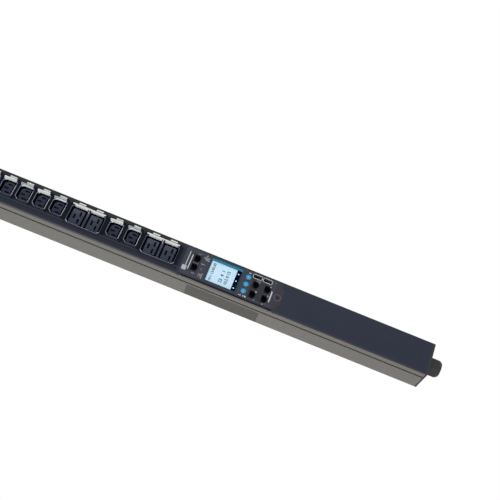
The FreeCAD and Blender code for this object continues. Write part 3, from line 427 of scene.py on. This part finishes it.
def film(name, pale, dull):
    """Label film: painted darker as shade where it bends over a lip, with a painted shade line
    beside the bend.
    """
    finish, shader, place = start_finish(name, IOR=1.45)
    dust = place.specks(0.003, (1, 1, 2))
    facing = abs(place.node("ShaderNodeNewGeometry", {}, {}, 1).axis(1))
    # painted shade: darker where the film bends over the lip, and a grey line beside the bend
    painted_bend_shade = facing.within(*BEVELLED)
    painted_shade_line = (facing > BEVELLED[1]) * place.axis(0).within(*SHADE_LINE)
    flat = painted_shade_line.between(dust.between(colour(*dull), colour(*pale)), colour(150, 153, 154))
    feed(
        shader,
        Base_Color=painted_bend_shade.between(flat, colour(228, 231, 231)),
        Roughness=dust * 0.2 + 0.35,
        Normal=dust.relief(0.00002),
    )
    return finish


label_film = film("label_film", (246, 249, 248), (232, 235, 234))
grey_film = film("grey_film", (176, 180, 182), (158, 162, 164))


def folded(name, stations, centres, finish):
    """Film bent over a lip: rows of x, y and z points across it, one set at each centre."""
    shape = bmesh.new()
    away = [(0, -FILM, 0)] * 2 + [(-FILM, 0, -FILM)] * 2
    for centre in centres:
        sides = []
        for lifts in ([(0, 0, 0)] * 4, away):
            sides.append([
                [
                    shape.verts.new(((x + dx) * MM, (y + dy) * MM, (z + dz + centre) * MM))
                    for (x, y, z), (dx, dy, dz) in zip(row, lifts)
                ]
                for row in stations
            ])
        under, over = sides
        last = len(stations) - 1
        for row in range(last):
            for k in range(3):
                for side in sides:
                    here, there = side[row], side[row + 1]
                    shape.faces.new((here[k], here[k + 1], there[k + 1], there[k]))
            for k in (0, 3):
                shape.faces.new((under[row][k], under[row + 1][k], over[row + 1][k], over[row][k]))
        for row in (0, last):
            for k in range(3):
                shape.faces.new((under[row][k], under[row][k + 1], over[row][k + 1], over[row][k]))
    bmesh.ops.recalc_face_normals(shape, faces=shape.faces)
    return set_piece(name, shape, finish)


def cut_film(name, outline, centres, level, finish):
    """Flat film cut to an outline of x and z points, one at each centre, all in millimetres."""
    shape = bmesh.new()
    count = len(outline)
    for centre in centres:
        back, front = [
            [shape.verts.new((x * MM, y * MM, (z + centre) * MM)) for x, z in outline]
            for y in (level, level - FILM)
        ]
        for k in range(count):
            n = (k + 1) % count
            shape.faces.new((back[k], back[n], front[n], front[k]))
        shape.faces.new(front)
        shape.faces.new(back[::-1])
    bmesh.ops.recalc_face_normals(shape, faces=shape.faces)
    return set_piece(name, shape, finish)


FACE_CUT = [
    (16.5, -8.3), (16.5, 6.0), (13.6, 8.9), (13.4, 10.2), (16.8, 11.9), (18.4, 11.9), (18.9, 11.4),
    (18.9, -7.8), (18.4, -8.3),
]
RIB_CUT = [(13.6, 0.2), (13.6, 1.0), (16.4, 1.4), (16.4, 0.2)]
cut_film("c13_white_faces", FACE_CUT, C13_CENTRES[1::2], FACE, label_film)
cut_film("c13_grey_faces", FACE_CUT, C13_CENTRES[0::2], FACE, grey_film)
cut_film("c19_rib_marks", RIB_CUT, C19_CENTRES, RIB, label_film)

TAB_DROP = 1.8
strips("c13_label_tabs", [(21.1, COVER, z - TAB_DROP) for z in C13_CENTRES], (1.8, 11.2),
       label_film, 0.9)
strips("c13_label_necks", [(19.35, FACE, z - TAB_DROP) for z in C13_CENTRES], (1.0, 11.2),
       label_film, 0.3)
strips("c19_label_faces", [(18.6, FACE, z + 0.9) for z in C19_CENTRES], (2.2, 53.6),
       label_film, 0.9)
tabs = [z + step for z in C19_CENTRES for step in (13.3, -15.4)]
strips("c19_label_tabs", [(21.5, COVER, z) for z in tabs], (2.2, 11.4),
       label_film, 0.9)

C13_FOLD = [
    [(16.6, FACE, -8.3), (15.9, FACE, -8.3), (15.1, -53.6, -8.3), (15.1, -51.4, -8.3)],
    [(16.6, FACE, 6.1), (15.9, FACE, 6.3), (15.1, -53.6, 5.5), (15.1, -51.4, 5.5)],
    [(13.9, FACE, 8.8), (13.4, FACE, 8.8), (12.6, -53.6, 8.0), (12.6, -53.2, 8.0)],
]
folded("c13_label_folds", C13_FOLD, C13_CENTRES, label_film)


def c19_fold(*heights):
    """Rows of points across the lip of a C19 well, at these heights from the centre."""
    return [[(17.6, FACE, z), (17.3, FACE, z), (16.5, -53.6, z), (16.5, -49.8, z)] for z in heights]


NOSE_STEP = 13.1
halves = [z + side for z in C19_CENTRES for side in (NOSE_STEP, -NOSE_STEP)]
folded("c19_label_folds", c19_fold(-10.3, 10.3), halves, label_film)
folded("c19_rib_folds", c19_fold(0.3, 1.4), C19_CENTRES, label_film)


# Contacts and busbars
# Forked contacts in rolled brass stand on drawn copper bars; the contacts' tips are painted
# dark grey as the shade inside the outlets. Both carry fine draw lines and a little brown tarnish.

SHADED_TIPS = -0.028

brass, shader, place = start_finish("contact_brass", Metallic=1.0)
draw = place.specks(0.0003, (1, 20, 1))
tarnish = place.specks(0.004)
# painted shade: the tips deep in the outlets are dark grey
shaded_tips = place.axis(1) < SHADED_TIPS
rolled = tarnish.between(colour(150, 120, 62), colour(182, 150, 84))
feed(
    shader,
    Base_Color=shaded_tips.between(rolled, tarnish.between(colour(54, 54, 58), colour(76, 76, 80))),
    Roughness=draw * 0.2 + 0.3,
    Normal=draw.relief(0.00001),
)
dress(brass, "line_contacts", "neutral_contacts", "earth_contacts")

copper, shader, place = start_finish("bar_copper", Metallic=1.0)
draw = place.specks(0.0003, (1, 1, 200))
tarnish = place.specks(0.02)
feed(
    shader,
    Base_Color=tarnish.between(colour(150, 88, 60), colour(184, 112, 80)),
    Roughness=draw * 0.25 + 0.28,
    Normal=draw.relief(0.00002),
)
dress(copper, "line_busbar", "neutral_busbar", "earth_busbar")


# Busbar supports, terminal block and current sensor
# The supports and the block are moulded in cream polyamide, and the sensor is a core
# potted in black. All carry the faint mottling of filled plastic.

insulator, shader, place = start_finish("insulator_moulding", IOR=1.5)
mottle = place.specks(0.002)
feed(
    shader,
    Base_Color=mottle.between(colour(196, 190, 172), colour(212, 206, 190)),
    Roughness=mottle * 0.2 + 0.4,
    Normal=mottle.relief(0.00004),
)
dress(insulator, "busbar_supports", "terminal_block")

sensor_core, shader, place = start_finish("sensor_core", IOR=1.5)
mottle = place.specks(0.001)
feed(
    shader,
    Base_Color=mottle.between(colour(24, 26, 30), colour(38, 40, 44)),
    Roughness=mottle * 0.3 + 0.3,
    Normal=mottle.relief(0.00004),
)
dress(sensor_core, "current_sensor")


# Controller housing
# A moulded panel in charcoal plastic with a tongue at its foot, let into the cover.
# It has a fine spark-eroded texture and pale pad-printed lines and marks, and a teal glow from the
# display is painted round the window.

PANEL = -55.4
TONGUE_TOP = (0.1785, 0.1815)
WINDOW_MIDDLE = 0.26065
WINDOW_HALF_X, WINDOW_HALF_Z = 0.0203, 0.0253
GLOW_REACH, GLOW_SHARE = 0.0035, 0.55

panel_plastic, shader, place = start_finish(
    "controller_plastic", IOR=1.45, Specular_IOR_Level=0.35
)
spark = place.specks(0.0004)
cast = place.specks(0.02)
mixed = spark * 0.5 + cast * 0.5
plain = mixed.between(colour(50, 53, 65), colour(64, 67, 79))
tongue = mixed.between(colour(42, 41, 50), colour(56, 55, 64))
plain = place.axis(2).ramp(*TONGUE_TOP).between(tongue, plain)
# painted glow: the display's teal light laid on the panel round the window
past_side = abs(place.axis(0)) - WINDOW_HALF_X
past_end = abs(place.axis(2) - WINDOW_MIDDLE) - WINDOW_HALF_Z
painted_glow = 1 - past_side.larger(past_end).ramp(0.0, GLOW_REACH)
feed(
    shader,
    Base_Color=(painted_glow * GLOW_SHARE).between(plain, colour(8, 44, 58)),
    Roughness=spark * 0.25 + 0.45,
    Normal=spark.relief(0.00004),
)
dress(panel_plastic, "controller_housing")


def print_ink(name, shade):
    """Pad-printing ink: a pale field that thins a little where the pad lifted."""
    ink, shader, place = start_finish(name, IOR=1.4)
    thin = place.specks(0.0012)
    darker = colour(*[c - 10 for c in shade])
    feed(
        shader,
        Base_Color=thin.between(darker, colour(*shade)),
        Roughness=thin * 0.2 + 0.45,
        Normal=thin.relief(0.00001),
    )
    return ink


white_ink = print_ink("white_ink", (216, 217, 219))
grey_ink = print_ink("grey_ink", (132, 132, 138))
green_ink = print_ink("green_ink", (158, 168, 156))

# every mark is an x span and a z span
white_marks = [
    ((-8.8, 16.7), (319.7, 320.9)),
    ((-13.8, 12.7), (314.5, 316.0)),
    ((15.4, 16.1), (288.4, 298.0)),
    ((13.2, 13.9), (290.0, 297.4)),
    ((11.2, 11.9), (288.0, 294.6)),
    ((2.4, 3.1), (293.0, 298.6)),
    ((18.2, 20.2), (293.2, 294.4)),
    ((-14.8, 4.2), (182.2, 184.2)),
    ((-22.7, -20.2), (226.2, 227.2)),
    ((-22.4, -21.4), (227.2, 230.4)),
    ((-22.7, -19.6), (222.0, 223.2)),
    ((-22.7, -20.0), (218.0, 220.6)),
    ((-22.7, -21.6), (190.2, 191.8)),
    ((18.6, 20.4), (222.8, 225.6)),
]
grey_marks = [
    ((-7.6, -4.6), (295.0, 296.6)),
    ((16.6, 17.8), (303.6, 308.4)),
    ((-18.2, -16.2), (303.2, 308.2)),
    ((12.4, 13.2), (203.8, 210.4)),
    ((12.3, 13.4), (189.6, 191.8)),
    ((19.2, 20.6), (180.8, 182.2)),
    ((-22.7, -21.8), (204.4, 207.6)),
]
green_marks = [
    ((-21.4, -12.0), (291.0, 292.4)),
    ((-19.6, -14.4), (296.2, 297.2)),
    ((-19.6, -14.4), (293.2, 294.2)),
    ((-15.4, -14.4), (294.2, 296.2)),
]
jack_marks = [
    ((-0.6, 1.8), (303.0, 304.2)),
    ((-0.2, 1.6), (306.2, 307.2)),
    ((-0.6, 1.8), (309.4, 310.4)),
    ((-20.4, -19.6), (203.0, 206.4)),
    ((-20.4, -19.6), (186.0, 189.0)),
    ((-5.2, -4.0), (186.0, 188.2)),
    ((10.2, 11.2), (208.4, 211.6)),
    ((10.6, 11.4), (204.0, 207.4)),
]

# from the face out to the ink's front and back
INK = (-0.06, 0.02)
JACK_FACE = -55.2


def printed(name, marks, ink, level):
    """Fields of ink in millimetres on the panel or a jack's face."""
    shape = bmesh.new()
    for x_span, z_span in marks:
        spans = (x_span, (level + INK[0], level + INK[1]), z_span)
        middle = Vector([(low + high) / 2 * MM for low, high in spans])
        size = [(high - low) * MM for low, high in spans]
        placed = Matrix.Translation(middle) @ Matrix.Diagonal((*size, 1))
        bmesh.ops.create_cube(shape, size=1, matrix=placed)
    return set_piece(name, shape, ink)


printed("panel_print_white", white_marks, white_ink, PANEL)
printed("panel_print_grey", grey_marks, grey_ink, PANEL)
printed("panel_print_green", green_marks, green_ink, PANEL)
printed("jack_print", jack_marks, grey_ink, JACK_FACE)
square_ink = print_ink("square_ink", (196, 197, 203))
strips("panel_print_square", [(-13.2, PANEL, 321.2)], (8.0, 7.0), square_ink,
       0.5, 0.06)


# Display
# A colour panel behind a clear window whose back is printed teal round the opening.
# It is lit: a pale page with dark figures over a navy strip with a mark for each key.

OPENING_X, OPENING_Z = (-0.0196, 0.0166), (0.2366, 0.2848)
LIT_BORDER = (0.0150, 0.0166)
CLEARNESS = 0.97
STRIP_TOP = 0.2435
PAGE, STRIP = -53.23, -53.2

window_glass, shader, place = start_finish("window_glass", IOR=1.5, Specular_IOR_Level=0.12)
x = place.axis(0)
z = place.axis(2)
smear = place.specks(0.01)
opening = x.within(*OPENING_X) * z.within(*OPENING_Z)
# painted glow: the teal print is brighter along one side of the opening, as lit by the display
feed(
    shader,
    Base_Color=x.ramp(*LIT_BORDER).between(
        smear.between(colour(10, 62, 84), colour(16, 78, 102)),
        smear.between(colour(34, 122, 152), colour(48, 146, 176)),
    ),
    Roughness=smear * 0.08 + 0.05,
    Alpha=1 - opening * CLEARNESS,
)
dress(window_glass, "display_window")

lit_page, shader, place = start_finish("lit_page", Specular_IOR_Level=0.0, Emission_Strength=0.45)
glow = place.specks(0.03)
fine = place.specks(0.0003, (1, 1, 1), 0)
page = (glow * 0.8 + fine * 0.2).between(colour(180, 212, 233), colour(202, 228, 243))
shade = (place.axis(2) < STRIP_TOP).between(page, colour(0, 3, 28))
feed(shader, Base_Color=shade, Emission_Color=shade, Roughness=fine * 0.1 + 0.4)
dress(lit_page, "display_panel")


def lit_ink(name, shade, strength):
    """A tone of the lit display, with the faint grid of its dots."""
    ink, shader, place = start_finish(name, Specular_IOR_Level=0.0, Emission_Strength=strength)
    grid = place.specks(0.0003, (1, 1, 1), 0)
    darker = colour(*[c * 0.9 for c in shade])
    tone = grid.between(darker, colour(*shade))
    feed(shader, Base_Color=tone, Emission_Color=tone, Roughness=grid * 0.1 + 0.4)
    return ink


def figures(name, words, left, foot, size, weight, ink):
    """Plain figures on the display's page, from their left end and foot in millimetres."""
    text = bpy.data.curves.new(name, "FONT")
    text.body = words
    text.size = size * MM
    text.extrude = 0.02 * MM
    text.offset = weight * MM
    maker = bpy.data.objects.new(name, text)
    bpy.context.scene.collection.objects.link(maker)
    graph = bpy.context.evaluated_depsgraph_get()
    mesh = bpy.data.meshes.new_from_object(maker.evaluated_get(graph))
    bpy.data.objects.remove(maker)
    start = Matrix.Translation((left * MM, PAGE * MM, foot * MM))
    mesh.transform(start @ Matrix.Rotation(math.pi / 2, 4, "X"))
    return new_piece(name, mesh, ink)


navy_figures = lit_ink("navy_figures", (14, 34, 48), 0.05)
grey_figures = lit_ink("grey_figures", (92, 116, 136), 0.2)
strip_white = lit_ink("strip_white", (214, 222, 255), 0.8)
figures("display_upper_line", "23  4  1", -14.2, 260.6, 7.2, 0.14, navy_figures)
figures("display_lower_line", "10.5 0 12", -15.4, 252.4, 6.6, 0.14, navy_figures)
figures("display_header_right", "12:45:30", -6.0, 277.0, 5.8, 0.14, navy_figures)
figures("display_header_left", "08.21", -16.8, 277.6, 4.6, 0.1, grey_figures)
strips("display_key_dots", [(x, STRIP, 240.2) for x in (-13.95, -1.4, 11.15)], (2.1, 2.1),
       strip_white, 1.0, 0.04)


# Keys
# Three round keys in clear blue plastic, each a cap on a stem over its switch.
# A ring is moulded round a paler spot in the middle of each cap.

KEY_PITCH = 0.01255
MIDDLE_KEY_X, KEYS_Z = -0.0008, 0.22455
SPOT, RING, RIM = 0.0012, (0.0019, 0.0027), 0.0040

key_plastic, shader, place = start_finish("key_plastic", IOR=1.5)
along = place.axis(0) - MIDDLE_KEY_X
along = along.math("WRAP", along, KEY_PITCH / 2, -KEY_PITCH / 2)
above = place.axis(2) - KEYS_Z
square = along * along + above * above
radius = square.math("SQRT", square)
grain = place.specks(0.0008)
plain = grain.between(colour(30, 168, 222), colour(46, 184, 236))
toned = radius.within(*RING).between(plain, colour(40, 116, 180))
toned = (radius > RIM).between(toned, colour(36, 98, 140))
toned = (radius < SPOT).between(toned, colour(112, 196, 242))
feed(shader, Base_Color=toned, Roughness=grain * 0.15 + 0.25, Normal=grain.relief(0.00002))
dress(key_plastic, "key_left", "key_middle", "key_right")

switch_body, shader, place = start_finish("switch_body", IOR=1.45)
grain = place.specks(0.0005)
feed(
    shader,
    Base_Color=grain.between(colour(30, 30, 32), colour(48, 48, 52)),
    Roughness=grain * 0.2 + 0.4,
)
dress(switch_body, "key_switches")


# Jacks
# Black moulded blocks with modular ports: a key way at each port's foot for the plug's catch,
# and eight sprung wires under its roof. The ports' insides and the wires are painted a dark
# bluish tone as shade.

MOUTH = -0.0549

jack_plastic, shader, place = start_finish("jack_plastic", IOR=1.45, Specular_IOR_Level=0.25)
grain = place.specks(0.0006)
# painted shade: inside the ports the plastic is darker and bluer
port_shade = grain.between(colour(15, 16, 38), colour(24, 25, 50))
face = grain.between(colour(40, 40, 45), colour(50, 50, 56))
feed(
    shader,
    Base_Color=(place.axis(1) < MOUTH).between(port_shade, face),
    Roughness=grain * 0.2 + 0.35,
    Normal=grain.relief(0.00002),
)
dress(jack_plastic, "sensor_jack", "network_jack")

# every port's middle as x and z
PORTS = [(-6.9, 307.55), (8.7, 307.55)] + [
    (x, z) for x in (-13.1, 3.9) for z in (191.75, 210.75)
]
WIRE_PITCH = 1.02
WIRES_BACK, WIRES_RISE = -43.0, 2.3
sprung_wire, shader, place = start_finish("sprung_wire", Metallic=0.8)
draw = place.specks(0.0003)
# painted shade: the wires are a dark bluish grey, as in the shade of the port
feed(
    shader,
    Base_Color=draw.between(colour(44, 45, 58), colour(58, 59, 72)),
    Roughness=draw * 0.15 + 0.35,
)
wires = [
    (x + (k - 3.5) * WIRE_PITCH, WIRES_BACK, z + WIRES_RISE) for x, z in PORTS for k in range(8)
]
strips("jack_wires", wires, (0.42, 2.6), sprung_wire, 0.1, 4.0)


# Port lights
# A light pipe at the foot of each network port. One is lit yellow-green, the rest are grey.

UPPER_ROW = 0.2

light_pipe, shader, place = start_finish("light_pipe", IOR=1.5, Emission_Strength=0.5)
grain = place.specks(0.0005)
lit = (place.axis(0) < 0) * (place.axis(2) > UPPER_ROW)
grey = grain.between(colour(142, 146, 146), colour(164, 168, 166))
green = grain.between(colour(146, 166, 96), colour(172, 190, 122))
feed(
    shader,
    Base_Color=lit.between(grey, green),
    Emission_Color=lit.between(colour(0, 0, 0), green),
    Roughness=grain * 0.2 + 0.3,
)
dress(light_pipe, "port_lights")


# Serial ports
# Two receptacles folded from nickelled steel: the front rim is bright nickel with a painted
# highlight, and its corners and the inside are painted dark as shade. The rims stand in
# printed white outlines.

PORT_X = 0.018
PORTS_MIDDLE, PORTS_STEP = 0.20305, 0.00825
FLAT_X, FLAT_Z = 0.0026, 0.0063
RIM_DEPTH = -0.05505

shell_metal, shader, place = start_finish("shell_metal")
grain = place.specks(0.0004)
aside = abs(place.axis(0) - PORT_X)
along = abs(abs(place.axis(2) - PORTS_MIDDLE) - PORTS_STEP)
# painted shade on the rim's corners and the inside; painted highlight on the rest of the front rim
corner = (aside > FLAT_X) * (along > FLAT_Z)
rim_highlight = (place.axis(1) < RIM_DEPTH) * (1 - corner)
bright = grain.between(colour(222, 223, 226), colour(236, 237, 240))
feed(
    shader,
    Base_Color=rim_highlight.between(colour(24, 24, 28), bright),
    Metallic=rim_highlight * 0.25,
    Roughness=grain * 0.2 + 0.3,
)
dress(shell_metal, "usb_ports")


RING_STEPS = 24


def outline_rings(name, centres, half, corner, width, ink):
    """Rounded rings of ink on the panel round the given places, of one outer half size."""
    shape = bmesh.new()
    for x, z in centres:
        loops = []
        for inset in (0, width):
            eased = corner - inset
            loop = []
            for step in range(RING_STEPS):
                turn = math.tau * (step + 0.5) / RING_STEPS
                side = math.copysign(half[0] - corner, math.cos(turn))
                end = math.copysign(half[1] - corner, math.sin(turn))
                loop.append((x + side + eased * math.cos(turn), z + end + eased * math.sin(turn)))
            for lift in INK:
                loops.append([
                    shape.verts.new((px * MM, (PANEL + lift) * MM, pz * MM)) for px, pz in loop
                ])
        front_out, back_out, front_in, back_in = loops
        for k in range(RING_STEPS):
            n = (k + 1) % RING_STEPS
            shape.faces.new((front_out[k], front_out[n], front_in[n], front_in[k]))
            shape.faces.new((back_out[n], back_out[k], back_in[k], back_in[n]))
            shape.faces.new((front_out[n], front_out[k], back_out[k], back_out[n]))
            shape.faces.new((front_in[k], front_in[n], back_in[n], back_in[k]))
    bmesh.ops.recalc_face_normals(shape, faces=shape.faces)
    return set_piece(name, shape, ink)


SERIAL_PORTS = [(18.0, 194.8), (18.0, 211.3)]
outline_rings("panel_print_outlines", SERIAL_PORTS, (3.78, 7.63), 1.6, 0.3, white_ink)


# Captive screw
# A blackened screw held in the controller's tongue, with a crossed recess. A dim ring is
# printed round it on the tongue.

black_steel, shader, place = start_finish("black_steel", Metallic=0.9)
turned = place.specks(0.0005)
feed(
    shader,
    Base_Color=turned.between(colour(40, 40, 44), colour(58, 58, 62)),
    Roughness=turned * 0.2 + 0.35,
    Normal=turned.relief(0.00002),
)
dress(black_steel, "captive_screw")

COLLAR = 5.6
low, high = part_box("captive_screw")
screw = ((low[0] + high[0]) / 2 / MM, (low[2] + high[2]) / 2 / MM)
collar_ink = print_ink("collar_ink", (112, 111, 122))
outline_rings("panel_print_collar", [screw], (COLLAR, COLLAR), COLLAR, 0.7, collar_ink)


# Controller board
# Green glass board with tinned tracks, held on the housing's bosses by four small screws.

board_green, shader, place = start_finish("board_green", IOR=1.5)
weave = place.specks(0.0006, (1, 1, 4))
tracks = place.specks(0.006, (1, 1, 6), 1) > 0.56
glass = weave.between(colour(20, 72, 48), colour(28, 88, 58))
feed(
    shader,
    Base_Color=tracks.between(glass, colour(44, 116, 76)),
    Roughness=weave * 0.2 + 0.3,
    Normal=weave.relief(0.00002),
)
dress(board_green, "controller_board")


# Steel small parts
# Zinc-plated screws, nuts and mounting buttons, a little cloudy with handling.

zinc_steel, shader, place = start_finish("zinc_steel", Metallic=1.0)
cloud = place.specks(0.002)
fine = place.specks(0.0003)
feed(
    shader,
    Base_Color=cloud.between(colour(158, 160, 162), colour(188, 190, 192)),
    Roughness=(cloud * 0.5 + fine * 0.5) * 0.3 + 0.25,
    Normal=fine.relief(0.00001),
)
dress(zinc_steel, "end_cap_screws", "terminal_screws", "board_screws", "mounting_nuts",
      "mounting_button_lower", "mounting_button_upper")


# End caps
# Moulded plates in dark nylon with a spigot inside the channel, held by four screws each.

end_plastic, shader, place = start_finish("end_plastic", IOR=1.45)
spark = place.specks(0.0006)
feed(
    shader,
    Base_Color=spark.between(colour(30, 31, 36), colour(42, 43, 50)),
    Roughness=spark * 0.25 + 0.45,
    Normal=spark.relief(0.00006),
)
dress(end_plastic, "end_cap_top", "end_cap_bottom")


# Supply gland
# A black nylon gland: body, domed nut and locknut with a moulded thread, and a rubber seal
# that grips the supply cord, which isn't fitted here.

gland_nylon, shader, place = start_finish("gland_nylon", IOR=1.45)
spark = place.specks(0.0006)
feed(
    shader,
    Base_Color=spark.between(colour(26, 26, 29), colour(36, 36, 40)),
    Roughness=spark * 0.25 + 0.4,
    Normal=spark.relief(0.00005),
)
dress(gland_nylon, "gland_body", "gland_nut", "gland_locknut")

seal_rubber, shader, place = start_finish("seal_rubber", IOR=1.5)
bloom = place.specks(0.0015)
feed(
    shader,
    Base_Color=bloom.between(colour(16, 16, 17), colour(30, 30, 32)),
    Roughness=bloom * 0.2 + 0.7,
    Normal=bloom.relief(0.00005),
)
dress(seal_rubber, "gland_seal")


# Camera and studio
# The camera stands where the photograph was taken, rolled so that the rack's upright falls
# to the right. Floor and air are white to the eye, and soft lamps light the unit plainly.

SENSOR = 36.0
FOCAL_PIXELS, PHOTO_PIXELS = 997.4, 500
PLAIN_AIR = 0.32

scene = bpy.context.scene
scene.view_settings.view_transform = "Standard"
camera_data = bpy.data.cameras.new("photo_camera")
camera_data.sensor_width = SENSOR
camera_data.lens = FOCAL_PIXELS / PHOTO_PIXELS * SENSOR
camera_data.clip_start = 0.05
camera = bpy.data.objects.new("photo_camera", camera_data)
across = Vector((0.32049, -0.19409, -0.92715))
upward = Vector((0.80264, -0.46415, 0.37462))
turn = Matrix((across, upward, across.cross(upward))).transposed().to_4x4()
camera.matrix_world = Matrix.Translation((-0.7172, -1.3860, 0.2488)) @ turn
scene.collection.objects.link(camera)
scene.camera = camera


def seen_plainly(tree):
    """1 for a ray from the eye, a mirror or a clear piece, 0 for a ray that lights a piece."""
    kinds = tree.nodes.new("ShaderNodeLightPath").outputs
    eye, mirror, clear = [
        Shade(tree, kinds[name])
        for name in ("Is Camera Ray", "Is Glossy Ray", "Is Transmission Ray")
    ]
    return eye.larger(mirror.larger(clear))


world = bpy.data.worlds.new("studio_air")
world.use_nodes = True
scene.world = world
air = world.node_tree.nodes["Background"]
feed(air, Strength=seen_plainly(world.node_tree) * (1 - PLAIN_AIR) + PLAIN_AIR)
air.inputs["Color"].default_value = (1, 1, 1, 1)

floor_mesh = bpy.data.meshes.new("studio_floor")
floor_mesh.from_pydata(
    [(-8, -8, -0.4), (8, -8, -0.4), (8, 8, -0.4), (-8, 8, -0.4)], [], [(0, 1, 2, 3)]
)
floor = bpy.data.objects.new("studio_floor", floor_mesh)
scene.collection.objects.link(floor)
floor_paint, shader, place = start_finish("floor_paint", Roughness=0.9)
mottle = place.specks(0.05)
feed(shader, Base_Color=mottle.between(colour(240, 240, 240), colour(245, 245, 245)))
distance = place.node("ShaderNodeVectorMath", {"operation": "LENGTH"}, {0: place}, 1)
fade = distance.ramp(0.3, 0.6) * 0.6 + 0.4
white = fade.tree.nodes.new("ShaderNodeEmission")
mixer = fade.tree.nodes.new("ShaderNodeMixShader")
output = fade.tree.nodes["Material Output"]
amount = fade * seen_plainly(fade.tree)
fade.tree.links.new(amount.socket, mixer.inputs[0])
fade.tree.links.new(shader.outputs[0], mixer.inputs[1])
fade.tree.links.new(white.outputs[0], mixer.inputs[2])
fade.tree.links.new(mixer.outputs[0], output.inputs[0])
floor_mesh.materials.append(floor_paint)

# every lamp's name, place, watts and size
lamps = [
    ("key_lamp", (-0.7, -1.7, 1.5), 15, 1.1),
    ("side_lamp", (-1.8, -0.5, 0.3), 9, 1.2),
    ("fill_lamp", (1.2, -1.4, 0.3), 3, 1.4),
    ("right_lamp", (1.8, 0.2, 0.3), 9, 1.2),
    ("back_lamp", (0.2, 1.8, 0.5), 9, 1.2),
]
lit_middle = Vector((0, -0.03, 0.3))
for name, spot, watts, size in lamps:
    lamp = bpy.data.lights.new(name, "AREA")
    lamp.energy = watts
    lamp.size = size
    holder = bpy.data.objects.new(name, lamp)
    holder.location = spot
    aim = lit_middle - Vector(spot)
    holder.rotation_euler = aim.to_track_quat("-Z", "Y").to_euler()
    scene.collection.objects.link(holder)
